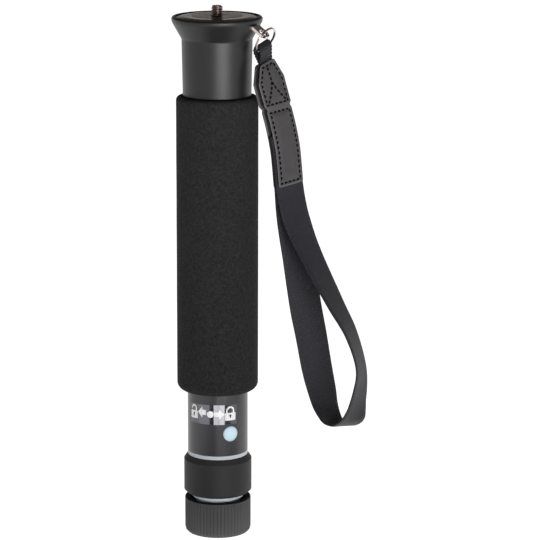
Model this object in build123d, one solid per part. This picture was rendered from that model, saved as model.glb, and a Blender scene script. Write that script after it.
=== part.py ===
from build123d import *
import math
import os

# Camera monopod with eight nested twist-lock tubes, a foam grip and a wrist strap.
# Millimetres, +Z up along the tubes, origin at the centre of the foot's resting face.
# The front faces -Y, and the strap hangs from the front right of the head.

# Whole monopod, closed
closed_height = 286.3
first_tube_diameter = 33.0
tube_diameter_drop = 3.0
tube_wall = 1.0
section_count = 8

# Clearances between pieces
running_gap = 0.05
glued_gap = 0.05
film_gap = 0.02
stop_gap = 0.3
seam_gap = 0.1

# Rubber foot, its core and the screw that holds them to the last tube
foot_set_back = 0.45
foot_height = 20.4
foot_wall = 1.8
foot_floor = 3.0
foot_bottom_round = 3.0
foot_top_round = 1.0
foot_rib_count = 56
foot_rib_depth = 0.4
foot_rib_run_out = 0.2
foot_round_steps = 3
foot_core_plate = 4.5
foot_core_web = 1.4
foot_collar_wall = 2.5
foot_spigot_length = 12.0
foot_screw_diameter = 4.0
foot_screw_length = 12.0
foot_screw_head_diameter = 7.4
foot_screw_head_height = 2.2
foot_screw_socket = 2.5
foot_screw_recess = 1.6
foot_washer_diameter = 9.0
foot_washer_height = 0.8

# End rings at the bottom of tubes 1 to 7, with the guide bush inside each tube
end_ring_height = 2.0
end_ring_gap = 0.2
end_ring_rise = 0.5
end_ring_step = 0.6
bush_length = 24.0

# Grip sleeve on the second tube
sleeve_wall = 3.55
sleeve_height = 21.8
sleeve_chamfer_width = 1.8
sleeve_top_chamfer_height = 2.6
sleeve_low_chamfer_height = 1.6

# Twist lock at the top of tubes 2 to 8
plug_length = 4.0
plug_wall = 1.9
lock_flange = 0.8
collet_zone = 6.4
lock_cap = 0.8
lock_head_room = 0.5
cone_top_inset = 1.1
cone_low_inset = 2.1
cap_inset = 0.3
flange_inset = 0.1
collet_slot = 1.6

# Head casting
head_length = 41.2
barrel_wall = 1.9
barrel_taper = 0.6
flare_angle = 29.4
flare_reach = 5.35
rim_top_round = 1.5
rim_low_round = 4.5
rim_round_steps = 4
flare_blend = 1.5
barrel_mouth_chamfer = 0.4
socket_depth = 29.0

# Camera platform and its screw
pad_inset = 2.0
pad_gap = 0.1
pad_thickness = 1.6
pad_edge_chamfer = 0.2
disc_diameter = 27.2
disc_gap = 0.15
stud_diameter = 6.35
stud_protrusion = 5.6
stud_tip_chamfer = 0.6
stud_relief_height = 0.8
stud_relief_depth = 0.5
stud_hole_gap = 0.1
nut_across_flats = 11.1
nut_height = 3.6
nut_room = 0.6
web_thickness = 7.4

# Foam grip
foam_wall = 5.65
foam_above_end = 34.6
foam_top_chamfer = 1.4
foam_bottom_chamfer = 2.2

# Printed film and round sticker on the first tube
label_height = 11.0
label_above_end = 18.0
label_span = 98.0
label_turn = -11.0
film_thickness = 0.12
dot_diameter = 8.4
dot_above_end = 12.6
dot_turn = 25.0
dot_thickness = 0.25

# Strap lug: a bent plate let into the rim at the front right
lug_turn = -35.4
lug_width = 7.2
lug_thickness = 1.4
lug_below_top = 2.7
lug_root_depth = 4.9
lug_bend_reach = 0.6
lug_slope = 34.0
lug_hole_reach = 5.55
lug_hole_diameter = 4.8
lug_slot_gap = 0.05

# Split ring: a flat wire wound twice, hooked through the lug
ring_radius = 7.3
ring_wire_width = 0.9
ring_wire_height = 1.8
ring_coil_groove = 0.2
ring_long_axis_tilt = 56.0
ring_turn = 58.7
ring_lug_angle = -68.0
ring_hanger_angle = 147.0

# Strap: its hanging direction, the narrow hanger, the leather tab and the webbing loop
strap_lean = 11.5
strap_forward = 3.5
strap_turn = 36.0
hanger_width = 7.2
hanger_thickness = 0.9
hanger_bore = 4.1
hanger_seat_out = 0.7
hanger_seat_up = 0.7
hanger_fold_length = 11.0
hanger_length = 38.0
tab_top_drop = 8.6
tab_length = 66.2
tab_width = 16.6
tab_top_width = 9.0
tab_neck_width = 15.4
tab_corner_round = 1.2
leather_thickness = 1.3
webbing_width = 18.0
webbing_thickness = 1.4
webbing_tail_gap = 4.8
loop_drop = 135.0
loop_spread = 35.5

# Heights along the tab, as shares of its length, where its outline changes
tab_shoulder_share = 0.15
tab_neck_shares = (0.32, 0.345, 0.37)

# The loop's centre line, from the back of the tab down and round to its front. Each row is
# the way down as a share of the drop, the way out as a share of the spread, the way across
# as a share of the webbing's width, and the webbing's turn in degrees.
loop_rows_as_shares = (
    (0.07, -0.035, -0.02, -3),
    (0.145, -0.055, -0.04, -8),
    (0.275, -0.105, -0.04, -14),
    (0.475, -0.195, -0.02, -17),
    (0.61, -0.255, 0.01, -16),
    (0.75, -0.300, 0.04, -12),
    (0.855, -0.304, 0.06, -5),
    (0.92, -0.254, 0.06, 1),
    (0.975, -0.100, 0.04, 8),
    (1.00, 0.113, 0.02, 14),
    (0.982, 0.338, 0.07, 20),
    (0.926, 0.549, 0.13, 28),
    (0.838, 0.676, 0.21, 36),
    (0.742, 0.699, 0.27, 38),
    (0.61, 0.620, 0.22, 31),
    (0.475, 0.456, 0.11, 22),
    (0.275, 0.208, -0.02, 10),
    (0.145, 0.082, -0.04, 3),
    (0.07, 0.042, -0.02, 1),
)
loop_stations = 44

match_tolerance = 0.001
full_turn = 360
quarter_turn = 90


# Sizes that follow from those above

def outer_radius(section):
    """Outside radius of one tube; section 1 is the widest."""
    return (first_tube_diameter - tube_diameter_drop * (section - 1)) / 2


def inner_radius(section):
    return outer_radius(section) - tube_wall


foam_radius = outer_radius(1) + glued_gap + foam_wall
sleeve_radius = outer_radius(2) + glued_gap + sleeve_wall
foot_radius = sleeve_radius - foot_set_back
barrel_low_radius = outer_radius(1) + glued_gap + barrel_wall
barrel_high_radius = barrel_low_radius + barrel_taper
rim_radius = barrel_high_radius + flare_reach
pad_radius = rim_radius - pad_inset
lug_root_radius = rim_radius - lug_root_depth
lug_bend_radius = rim_radius + lug_bend_reach
sleeve_bottom = foot_height + end_ring_rise + end_ring_height
recess_top = foot_floor + foot_core_plate - foot_core_web
washer_low = recess_top - foot_washer_height


def ring_bottom(section):
    """Underside of the end ring of one tube, closed. Ring 1 lies above the grip sleeve."""
    if section == 1:
        return sleeve_bottom + sleeve_height + end_ring_gap
    return foot_height + end_ring_rise - (section - 2) * (end_ring_height + end_ring_gap)


def tube_bottom(section):
    if section == section_count:
        return foot_floor + foot_core_plate
    return ring_bottom(section) + end_ring_height


head_top = closed_height - pad_thickness
head_bottom = closed_height - pad_thickness - head_length
socket_top = head_bottom + socket_depth
foam_top = head_bottom
foam_bottom = ring_bottom(1) + end_ring_height + foam_above_end
lock_pitch = plug_length + lock_flange + collet_zone + lock_cap + lock_head_room


def cap_top(section):
    """Top of the lock at the head of one tube."""
    return socket_top - lock_head_room - seam_gap - lock_pitch * (section - 2)


def tube_top(section):
    if section == 1:
        return socket_top - seam_gap
    return cap_top(section) - lock_cap - collet_zone - lock_flange


def collet_bottom(section):
    return tube_top(section) + lock_flange + stop_gap


def slide_travel(section):
    """How far a section slides out before its collet meets the bush below it."""
    return collet_bottom(section) - (ring_bottom(section - 1) + end_ring_height + bush_length) - stop_gap


# Directions and planes of the strap's pieces

def polar(radius, turn, height):
    angle = math.radians(turn)
    return Vector(radius * math.cos(angle), radius * math.sin(angle), height)


lug_height = head_top - lug_below_top
lug_out = polar(1, lug_turn, 0)
lug_side = Vector(0, 0, 1).cross(lug_out)
lug_down = lug_out * math.cos(math.radians(lug_slope)) - Vector(0, 0, math.sin(math.radians(lug_slope)))
lug_bend = polar(lug_bend_radius, lug_turn, lug_height)
lug_hole = lug_bend + lug_down * lug_hole_reach
lug_face = lug_down.cross(lug_side)

ring_long = Vector(math.cos(math.radians(ring_long_axis_tilt)), 0, math.sin(math.radians(ring_long_axis_tilt)))
ring_short = Vector(ring_long.Z, 0, -ring_long.X) * math.cos(math.radians(ring_turn)) + Vector(
    0, math.sin(math.radians(ring_turn)), 0)


def ring_direction(angle):
    """From the split ring's centre to its wire, at an angle in the ring's own plane."""
    return ring_long * math.cos(math.radians(angle)) + ring_short * math.sin(math.radians(angle))


ring_centre = lug_hole - ring_direction(ring_lug_angle) * ring_radius
ring_plane = Plane(origin=ring_centre, x_dir=ring_long, z_dir=ring_long.cross(ring_short))

strap_down = Vector(math.tan(math.radians(strap_lean)), -math.tan(math.radians(strap_forward)), -1).normalized()
strap_level = Vector(math.cos(math.radians(strap_turn)), math.sin(math.radians(strap_turn)), 0)
strap_across = (strap_level - strap_down * strap_level.dot(strap_down)).normalized()
strap_out = strap_down.cross(strap_across)
webbing_tail = tab_top_drop + tab_length - hanger_length - webbing_tail_gap
# The fold's axis lies off the wire's centre, so that its bore clears the curve of the ring
hanger_point = (
    ring_centre + ring_direction(ring_hanger_angle) * ring_radius
    + strap_out * hanger_seat_out - strap_down * hanger_seat_up
)
# Seen along the strap's width: x is outwards, y is up along the strap
strap_side_plane = Plane(origin=hanger_point, x_dir=strap_out, z_dir=-strap_across)
# Seen from the front of the tab: x is across, y is up along the strap
strap_face_plane = Plane(origin=hanger_point, x_dir=strap_across, z_dir=strap_out)


# Shapes used by more than one piece

def turned(outline):
    """Solid turned about the tubes' axis from (radius, height) points."""
    profile = make_face(Plane.XZ * Polyline(*outline, close=True))
    return revolve(profile, Axis.Z, full_turn)


def arc_points(radius, height, rounding, start, end):
    """Points of an arc of a turned outline, about (radius, height), from one angle to another."""
    points = []
    for step in range(rim_round_steps + 1):
        angle = math.radians(start + (end - start) * step / rim_round_steps)
        points.append((radius + rounding * math.cos(angle), height + rounding * math.sin(angle)))
    return points


def sleeve_shape(inside, outside, low, high):
    return turned([(inside, low), (outside, low), (outside, high), (inside, high)])


def circles_at(solid, radius, height):
    """The circular edges of a turned solid at one radius and height."""
    circles = solid.edges().filter_by(GeomType.CIRCLE)
    return [
        edge for edge in circles
        if abs(edge.radius - radius) < match_tolerance
        and abs(edge.bounding_box().center().Z - height) < match_tolerance
    ]


def about_axis(solid, turn):
    return Rotation(0, 0, turn) * solid


# Head

def head_casting():
    """Barrel over the first tube, flaring out to the rim under the camera platform."""
    recess = pad_radius + pad_gap
    widest = closed_height - rim_top_round
    rim_low = arc_points(rim_radius - rim_low_round, widest, rim_low_round, -flare_angle, 0)
    rim_high = arc_points(rim_radius - rim_top_round, widest, rim_top_round, 0, quarter_turn)
    low_radius, low_height = rim_low[0]
    flare_low = low_height - (low_radius - barrel_high_radius) / math.tan(math.radians(flare_angle))
    pocket_top = head_top - web_thickness
    pocket = nut_across_flats / math.sqrt(3) + nut_room
    stud_hole = stud_diameter / 2 + stud_hole_gap
    socket = outer_radius(1) + glued_gap
    body = turned([
        (stud_hole, head_top), (stud_hole, pocket_top), (pocket, pocket_top), (pocket, socket_top),
        (socket, socket_top), (socket, head_bottom), (barrel_low_radius, head_bottom),
        (barrel_high_radius, flare_low), *rim_low[:-1], *rim_high,
        (recess, closed_height), (recess, head_top),
    ])
    body = fillet(circles_at(body, barrel_high_radius, flare_low), flare_blend)
    body = chamfer(circles_at(body, barrel_low_radius, head_bottom), barrel_mouth_chamfer)
    return body - lug_plate(lug_slot_gap)


def platform_pad():
    pad = sleeve_shape(disc_diameter / 2 + disc_gap, pad_radius, head_top, closed_height)
    return chamfer(circles_at(pad, pad_radius, closed_height), pad_edge_chamfer)


def platform_disc():
    hole = stud_diameter / 2 + glued_gap
    return sleeve_shape(hole, disc_diameter / 2, head_top, closed_height)


def camera_stud():
    """Quarter-inch stud through the disc and the casting's web, with a relief under the platform's face."""
    nut_bottom = head_top - web_thickness - nut_height
    tip = closed_height + stud_protrusion
    radius = stud_diameter / 2
    narrow = radius - stud_tip_chamfer
    relief = radius - stud_relief_depth
    relief_low = closed_height - stud_relief_height
    return turned([
        (0, nut_bottom), (radius, nut_bottom), (radius, relief_low), (relief, relief_low),
        (relief, closed_height), (radius, closed_height), (radius, tip - stud_tip_chamfer),
        (narrow, tip), (0, tip),
    ])


def stud_nut():
    nut_top = head_top - web_thickness
    hexagon = RegularPolygon(nut_across_flats / 2, 6, major_radius=False)
    hexagon -= Circle(stud_diameter / 2 + glued_gap)
    return extrude(Pos(0, 0, nut_top - nut_height) * hexagon, nut_height)


def lug_plate(gap):
    """The bent lug plate, grown by a gap all round where it is let into the casting."""
    half = lug_thickness / 2 + gap
    upright = Plane(origin=(0, 0, lug_height), x_dir=lug_out, z_dir=-lug_side)
    root = lug_root_radius - gap
    reach = lug_hole_reach + lug_width / 2
    slope = math.radians(lug_slope)
    mitre = half * math.tan(slope / 2)
    end = (lug_bend_radius + reach * math.cos(slope), -reach * math.sin(slope))
    rise = (half * math.sin(slope), half * math.cos(slope))
    outline = [
        (root, -half), (lug_bend_radius - mitre, -half), (end[0] - rise[0], end[1] - rise[1]),
        (end[0] + rise[0], end[1] + rise[1]), (lug_bend_radius + mitre, half), (root, half),
    ]
    strip = extrude(make_face(upright * Polyline(*outline, close=True)), lug_width / 2 + gap, both=True)
    return strip


def strap_lug():
    """Bent plate with a rounded end and the hole that the split ring passes through."""
    end_plane = Plane(origin=lug_hole, x_dir=lug_down, z_dir=lug_face)
    corner = Rectangle(lug_width / 2, lug_width, align=(Align.MIN, Align.CENTER)) - Circle(lug_width / 2)
    plate = lug_plate(0)
    plate -= extrude(end_plane * corner, lug_thickness, both=True)
    plate -= extrude(end_plane * Circle(lug_hole_diameter / 2), lug_thickness, both=True)
    return plate


# First tube and what is fixed to it

def tube(section):
    return sleeve_shape(inner_radius(section), outer_radius(section), tube_bottom(section), tube_top(section))


def foam_grip():
    foam = sleeve_shape(outer_radius(1) + glued_gap, foam_radius, foam_bottom, foam_top)
    foam = chamfer(circles_at(foam, foam_radius, foam_top), foam_top_chamfer)
    return chamfer(circles_at(foam, foam_radius, foam_bottom), foam_bottom_chamfer)


def end_ring(section):
    """Ring under a tube's end, with the thin bush that guides the next tube inside it."""
    bore = outer_radius(section + 1) + running_gap
    bush = inner_radius(section) - glued_gap
    low = ring_bottom(section)
    shoulder = low + end_ring_height
    outside = outer_radius(section) if section == 1 else outer_radius(section) - end_ring_step
    return turned([
        (bore, low), (outside, low), (outside, shoulder), (bush, shoulder),
        (bush, shoulder + bush_length), (bore, shoulder + bush_length),
    ])


def lock_label():
    """Thin film wrapped part of the way round the first tube."""
    inside = outer_radius(1) + film_gap
    low = tube_bottom(1) + label_above_end
    profile = make_face(Plane.XZ * Polyline(
        (inside, low), (inside + film_thickness, low), (inside + film_thickness, low + label_height),
        (inside, low + label_height), close=True))
    film = revolve(profile, Axis.Z, label_span)
    return about_axis(film, label_turn - label_span / 2 - 90)


def marker_dot():
    """Small round sticker that follows the first tube's curve."""
    inside = outer_radius(1) + film_gap
    middle = tube_bottom(1) + dot_above_end
    shell = sleeve_shape(inside, inside + dot_thickness, middle - dot_diameter, middle + dot_diameter)
    aim = Plane(origin=(0, 0, middle), x_dir=(1, 0, 0), z_dir=(0, -1, 0))
    punch = extrude(aim * Circle(dot_diameter / 2), foam_radius)
    return about_axis(shell & punch, dot_turn)


def grip_sleeve():
    """Hard sleeve round the second tube's lower end, chamfered at both ends."""
    inside = outer_radius(2) + glued_gap
    outside = sleeve_radius
    low = sleeve_bottom
    high = sleeve_bottom + sleeve_height
    narrow = outside - sleeve_chamfer_width
    return turned([
        (inside, low), (narrow, low), (outside, low + sleeve_low_chamfer_height),
        (outside, high - sleeve_top_chamfer_height), (narrow, high), (inside, high),
    ])


# Twist locks

def lock_cone(section):
    """Plug fixed in a tube's top, with the taper that spreads the collet round it."""
    top = cap_top(section)
    rim = tube_top(section)
    outside = outer_radius(section)
    cone_top = outside - cone_top_inset
    cone_low = outside - cone_low_inset
    bore = cone_low - plug_wall
    shelf = rim + lock_flange
    return turned([
        (bore, rim - plug_length), (inner_radius(section) - glued_gap, rim - plug_length),
        (inner_radius(section) - glued_gap, rim), (outside - flange_inset, rim),
        (outside - flange_inset, shelf), (cone_low, shelf), (cone_top, top - lock_cap),
        (outside - cap_inset, top - lock_cap), (outside - cap_inset, top), (bore, top),
    ])


def lock_collet(section):
    """Split ring round the cone, a running fit inside the next tube out."""
    low = collet_bottom(section)
    high = cap_top(section) - lock_cap - stop_gap
    cone_rate = (cone_low_inset - cone_top_inset) / collet_zone
    bore_low = outer_radius(section) - cone_low_inset + cone_rate * stop_gap + running_gap
    bore_high = outer_radius(section) - cone_top_inset - cone_rate * stop_gap + running_gap
    outside = inner_radius(section - 1) - running_gap
    collet = turned([(bore_low, low), (outside, low), (outside, high), (bore_high, high)])
    slot = Pos(outside, 0, low) * Box(
        outside * 2, collet_slot, collet_zone * 2)
    return collet - slot


# Foot

def ribbed_outline(crest, height):
    """Outline across the foot's ribs at one height: each has a flat crest and a pointed root."""
    root = crest - foot_rib_depth
    corners = []
    for number in range(foot_rib_count * 2):
        radius, place = (crest, number / 2) if number % 2 == 0 else (root, number / 2 + 1 / 4)
        corners.append(polar(radius, full_turn * place / foot_rib_count, height))
        if radius == crest:
            corners.append(polar(radius, full_turn * (place + 1 / 2) / foot_rib_count, height))
    return make_face(Polyline(*corners, close=True))


def rubber_foot():
    """Cup that covers the stacked ends of the inner tubes, ribbed below a plain rounded rim."""
    outside = foot_radius
    inside = outside - foot_wall
    rim_low = foot_height - foot_top_round
    groove_top = rim_low - foot_rib_run_out
    rim = arc_points(outside - foot_top_round, rim_low, foot_top_round, 0, quarter_turn)
    rounding = []
    for step in range(foot_round_steps + 1):
        angle = math.pi / 2 * step / foot_round_steps
        crest = outside - foot_bottom_round * (1 - math.sin(angle))
        rounding.append(ribbed_outline(crest, foot_bottom_round * (1 - math.cos(angle))))
    cup = loft(rounding, ruled=True)
    cup += extrude(ribbed_outline(outside, foot_bottom_round), groove_top - foot_bottom_round)
    cup += turned([
        (0, groove_top), (outside, groove_top), *rim, (0, foot_height),
    ])
    return cup - sleeve_shape(0, inside, foot_floor, foot_height)


def foot_core():
    """Plastic plate in the cup, with a collar outside the last tube and a spigot inside it.

    The screw's head and washer lie in a recess in its underside.
    """
    plate = foot_radius - foot_wall - glued_gap
    collar_top = ring_bottom(section_count - 1) - end_ring_gap
    tube_outside = outer_radius(section_count) + glued_gap
    spigot = inner_radius(section_count) - glued_gap
    plate_top = foot_floor + foot_core_plate
    screw_hole = foot_screw_diameter / 2 + glued_gap
    recess = foot_washer_diameter / 2 + glued_gap
    return turned([
        (screw_hole, recess_top), (recess, recess_top), (recess, foot_floor), (plate, foot_floor),
        (plate, plate_top),
        (tube_outside + foot_collar_wall, plate_top), (tube_outside + foot_collar_wall, collar_top),
        (tube_outside, collar_top), (tube_outside, plate_top), (spigot, plate_top),
        (spigot, plate_top + foot_spigot_length), (screw_hole, plate_top + foot_spigot_length),
    ])


def foot_washer():
    hole = foot_screw_diameter / 2 + glued_gap
    return sleeve_shape(hole, foot_washer_diameter / 2, washer_low, recess_top)


def foot_screw():
    """Socket-head screw in the core's recess, driven up into the spigot."""
    head_low = washer_low - foot_screw_head_height
    shank = foot_screw_diameter / 2
    head = foot_screw_head_diameter / 2
    screw = turned([
        (0, head_low), (head, head_low), (head, washer_low), (shank, washer_low),
        (shank, washer_low + foot_screw_length), (0, washer_low + foot_screw_length),
    ])
    socket = extrude(Pos(0, 0, head_low) * RegularPolygon(foot_screw_socket / 2, 6, major_radius=False),
                     foot_screw_recess)
    return screw - socket


# Strap

def split_ring():
    """Two flat coils side by side, with the fine groove between them."""
    half_height = ring_wire_height / 2
    inside = ring_radius - ring_wire_width / 2
    outside = ring_radius + ring_wire_width / 2
    groove = ring_coil_groove / 2
    section = Polyline(
        (inside, -half_height), (outside, -half_height), (outside, -groove),
        (outside - ring_coil_groove, 0), (outside, groove), (outside, half_height),
        (inside, half_height), (inside, groove), (inside + ring_coil_groove, 0), (inside, -groove), close=True)
    coils = revolve(make_face(Plane.XZ * section), Axis.Z, full_turn)
    return ring_plane * coils


def strap_hanger():
    """Narrow webbing folded over the split ring, its two tails inside the leather tab."""
    bore = hanger_bore / 2 + hanger_thickness
    fold = Circle(bore) + make_face(Polyline(
        (-bore, 0), (bore, 0), (hanger_thickness + seam_gap / 2, -hanger_fold_length),
        (hanger_thickness + seam_gap / 2, -hanger_length), (-hanger_thickness - seam_gap / 2, -hanger_length),
        (-hanger_thickness - seam_gap / 2, -hanger_fold_length), close=True))
    hollow = Circle(hanger_bore / 2) + make_face(Polyline(
        (-hanger_bore / 2, 0), (hanger_bore / 2, 0), (seam_gap / 2, -hanger_fold_length),
        (seam_gap / 2, -hanger_length), (-seam_gap / 2, -hanger_length),
        (-seam_gap / 2, -hanger_fold_length), close=True))
    return extrude(strap_side_plane * (fold - hollow), hanger_width / 2, both=True)


def tab_outline():
    """Face of one leather panel: narrow top, shoulders, a slight neck and a long lower part."""
    top = -tab_top_drop
    bottom = top - tab_length
    shoulder = top - tab_length * tab_shoulder_share
    neck = [top - tab_length * share for share in tab_neck_shares]
    right = [
        (tab_top_width / 2, top), (tab_width / 2, shoulder), (tab_width / 2, neck[0]),
        (tab_neck_width / 2, neck[1]), (tab_width / 2, neck[2]), (tab_width / 2, bottom),
    ]
    left = [(-across, height) for across, height in reversed(right)]
    panel = make_face(Polyline(*right, *left, close=True))
    return fillet(panel.vertices(), tab_corner_round)


def leather_panel(side):
    """Front panel for side 1, back panel for side -1."""
    inner_face = webbing_thickness + seam_gap
    offset = inner_face if side > 0 else -inner_face - leather_thickness
    return extrude(strap_face_plane * Pos(0, 0, offset) * tab_outline(), leather_thickness)


def strap_place(across, out, down):
    return hanger_point + strap_across * across + strap_out * out + strap_down * down


def loop_rows():
    """Across, out, down and turn along the loop, from the tab's back to its front."""
    layer = (webbing_thickness + seam_gap) / 2
    tab_bottom = tab_top_drop + tab_length
    rows = [(0, -layer, tab_bottom, 0)]
    for down_share, out_share, across_share, turn in loop_rows_as_shares:
        rows.append((
            webbing_width * across_share, loop_spread * out_share, tab_bottom + loop_drop * down_share, turn))
    return rows + [(0, layer, tab_bottom, 0)]


def webbing_section(place, along, turn):
    """Cross-section of the webbing at one place, square to the way it runs."""
    across = strap_across * math.cos(turn) - strap_out * math.sin(turn)
    across = across - along * across.dot(along)
    return Plane(origin=place, x_dir=across, z_dir=along) * Rectangle(webbing_width, webbing_thickness)


def strap_webbing():
    """Flat webbing: down from the back of the tab, round the hand loop and up to its front."""
    rows = loop_rows()
    places = [strap_place(across, out, down) for across, out, down, turn in rows]
    turns = [math.radians(row[3]) for row in rows]
    path = Spline(*places, tangents=(strap_down, -strap_down))
    marks = [path.param_at_point(place) for place in places]
    tail = strap_down * webbing_tail
    sections = [webbing_section(places[0] - tail, strap_down, turns[0])]
    for station in range(loop_stations + 1):
        share = station / loop_stations
        row = max(index for index in range(len(marks) - 1) if marks[index] <= share)
        blend = (share - marks[row]) / (marks[row + 1] - marks[row])
        turn = turns[row] + (turns[row + 1] - turns[row]) * blend
        sections.append(webbing_section(path @ share, path % share, turn))
    sections.append(webbing_section(places[-1] - tail, -strap_down, turns[-1]))
    return loft(sections, ruled=True)


# All pieces by name

def monopod_parts():
    parts = {
        "head_casting": head_casting(),
        "platform_pad": platform_pad(),
        "platform_disc": platform_disc(),
        "camera_stud": camera_stud(),
        "stud_nut": stud_nut(),
        "strap_lug": strap_lug(),
        "foam_grip": foam_grip(),
        "lock_label": lock_label(),
        "marker_dot": marker_dot(),
        "grip_sleeve": grip_sleeve(),
        "rubber_foot": rubber_foot(),
        "foot_core": foot_core(),
        "foot_washer": foot_washer(),
        "foot_screw": foot_screw(),
        "split_ring": split_ring(),
        "strap_hanger": strap_hanger(),
        "strap_tab_front": leather_panel(1),
        "strap_tab_back": leather_panel(-1),
        "strap_webbing": strap_webbing(),
    }
    for section in range(1, section_count + 1):
        parts[f"tube_{section}"] = tube(section)
        if section < section_count:
            parts[f"end_ring_{section}"] = end_ring(section)
        if section > 1:
            parts[f"lock_cone_{section}"] = lock_cone(section)
            parts[f"lock_collet_{section}"] = lock_collet(section)
    return parts


os.makedirs("parts", exist_ok=True)
for name, piece in monopod_parts().items():
    export_step(piece, f"parts/{name}.step")
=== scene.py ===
"""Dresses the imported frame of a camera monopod: its grip, stud, strap, marks, finishes and studio."""

import math

import bmesh
import bpy
from mathutils import Matrix, Vector
from bpy.props import FloatProperty, FloatVectorProperty, IntProperty, PointerProperty


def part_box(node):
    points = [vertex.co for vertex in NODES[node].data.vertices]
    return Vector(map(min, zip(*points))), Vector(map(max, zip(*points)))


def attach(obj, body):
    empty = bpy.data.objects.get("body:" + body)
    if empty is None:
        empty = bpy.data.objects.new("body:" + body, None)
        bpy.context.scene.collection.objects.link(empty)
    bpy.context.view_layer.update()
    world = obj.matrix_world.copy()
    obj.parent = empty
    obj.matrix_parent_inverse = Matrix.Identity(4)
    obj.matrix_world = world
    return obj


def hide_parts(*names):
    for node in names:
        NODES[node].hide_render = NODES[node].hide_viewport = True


bl_info = {
    "name": "Monopod dresser",
    "version": (1, 0, 0),
    "blender": (4, 5, 0),
    "location": "View3D > Sidebar > Monopod",
    "description": "Gives a camera monopod its grip, thread, strap, marks, finishes and studio",
    "category": "Object",
}

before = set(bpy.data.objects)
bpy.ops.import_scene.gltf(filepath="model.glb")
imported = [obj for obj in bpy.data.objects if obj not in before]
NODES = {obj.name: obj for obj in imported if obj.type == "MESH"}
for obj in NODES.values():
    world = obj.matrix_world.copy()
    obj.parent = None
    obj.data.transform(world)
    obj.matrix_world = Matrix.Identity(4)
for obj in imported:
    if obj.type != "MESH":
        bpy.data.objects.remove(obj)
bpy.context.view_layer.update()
MM = 0.001


# Places that the pieces share

HEAD_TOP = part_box("head_casting")[1].z
HEAD_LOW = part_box("head_casting")[0].z
PAD_LOW, PAD_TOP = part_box("platform_pad")[0].z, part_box("platform_pad")[1].z
STUD_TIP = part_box("camera_stud")[1].z
FOAM_LOW, FOAM_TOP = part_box("foam_grip")[0].z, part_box("foam_grip")[1].z
FOAM_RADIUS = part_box("foam_grip")[1].x
TUBE_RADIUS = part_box("tube_1")[1].x
FILM_RISE = 0.14 * MM
LABEL_RADIUS = TUBE_RADIUS + FILM_RISE

# Distances below which two points count as one
MERGE = 1e-7
NEAR = 1e-6

# Head casting: its bores, its barrel, its flare, its rim and the recess for the platform
STUD_BORE = 3.3 * MM
SOCKET_RADIUS = 16.56 * MM
SOCKET_DEPTH = 29.0 * MM
BARREL_LOW_RADIUS = 18.45 * MM
BARREL_HIGH_RADIUS = 19.05 * MM
MOUTH_ROUND = 0.6 * MM
FLARE_DROP = 10.675 * MM
FLARE_ANGLE = 29.4
FLARE_BLEND = 2.2 * MM
RIM_LOW_CENTRE = 19.9 * MM
RIM_LOW_ROUND = 4.5 * MM
RIM_TOP_CENTRE = 22.9 * MM
RIM_TOP_ROUND = 1.5 * MM
RIM_STEPS = 8
RECESS_RADIUS = 22.45 * MM

# Camera platform: a pad that slopes to its edge, round a flat disc
PAD_HOLE = 13.7 * MM
PAD_HOLE_ROUND = 0.15 * MM
PAD_SLOPE_FROM = 18.6 * MM
PAD_SLOPE_DROP = 0.8 * MM
PAD_SLOPE_ROUND = 12.0 * MM
PAD_EDGE_ROUND = 0.3 * MM
DISC_HOLE = 3.25 * MM
DISC_HOLE_ROUND = 0.3 * MM
DISC_EDGE_ROUND = 0.15 * MM

# The split ring's circle
RING_CENTRE = Vector((25.515, -11.364, 274.663)) * MM
RING_RADIUS = 7.3 * MM
RING_LONG = Vector((0.5592, 0.0, 0.8290))
RING_SHORT = Vector((0.4307, 0.8545, -0.2905))

# The strap's own space: across its width, up along it, and out from its face
STRAP_TOP = Vector((24.0707, -8.4833, 269.2338)) * MM
STRAP_DOWN = Vector((0.1990, -0.0598, -0.9782)).normalized()
STRAP_ACROSS = Vector((0.7903, 0.6001, 0.1241)).normalized()
STRAP_OUT = STRAP_DOWN.cross(STRAP_ACROSS)

# The strap's top is cut aslant: the slope, the way down at which it has faded out, and its run
TOP_SLANT = 0.22
TOP_SLANT_END = 22.0
TOP_SLANT_RUN = 14.0

# Gentle curve of the strap: way down and way aside, in millimetres
BOW = (
    (6.0, -0.5), (19.0, 0.2), (30.0, 1.1), (42.0, 1.9), (54.0, 1.8), (64.0, 0.6), (74.8, -0.9), (84.0, -1.4),
    (94.4, -1.3), (111.9, -0.6), (138.9, 0.0),
)

# Hanger, in millimetres of the strap's space: its leg (out, down), its eye, its ribs and how its top leans
HANGER_LEG = ((0.5, 30.0), (0.5, 18.0), (0.5, 9.0), (0.95, 5.6), (2.0, 2.6))
HANGER_REACH = 2.8
HANGER_ASIDE = 0.8
HANGER_THICKNESS = 0.8
HANGER_RIB_PITCH = 1.7
HANGER_RIB_HEIGHT = 0.26
HANGER_VALLEY_SHARE = 0.97
HANGER_RIB_SHARE = 0.06
HANGER_SLANT = 0.28
HANGER_LIFT = 0.4
HANGER_FADE_END = 12.0
HANGER_FADE_RUN = 9.0
HANGER_STEPS = 260

# Leather tab, in millimetres of the strap's space
TAB_TOP = 6.6
TAB_LENGTH = 66.9
TAB_WIDTH = 16.6
TAB_HIGH_WIDTH = 17.8
TAB_TOP_WIDTH = 9.8
TAB_NECK_WIDTH = 15.4
TAB_SHOULDER = 0.15
TAB_NECK = (0.347, 0.372, 0.397)
TAB_FACE = 1.5
TAB_THICKNESS = 1.3
TAB_CORNER = 1.2
TAB_FOLD = TAB_NECK[1] * TAB_LENGTH
TAB_FOLD_HALF = 1.1
TAB_SEAM_HALF = 1.9

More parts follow.
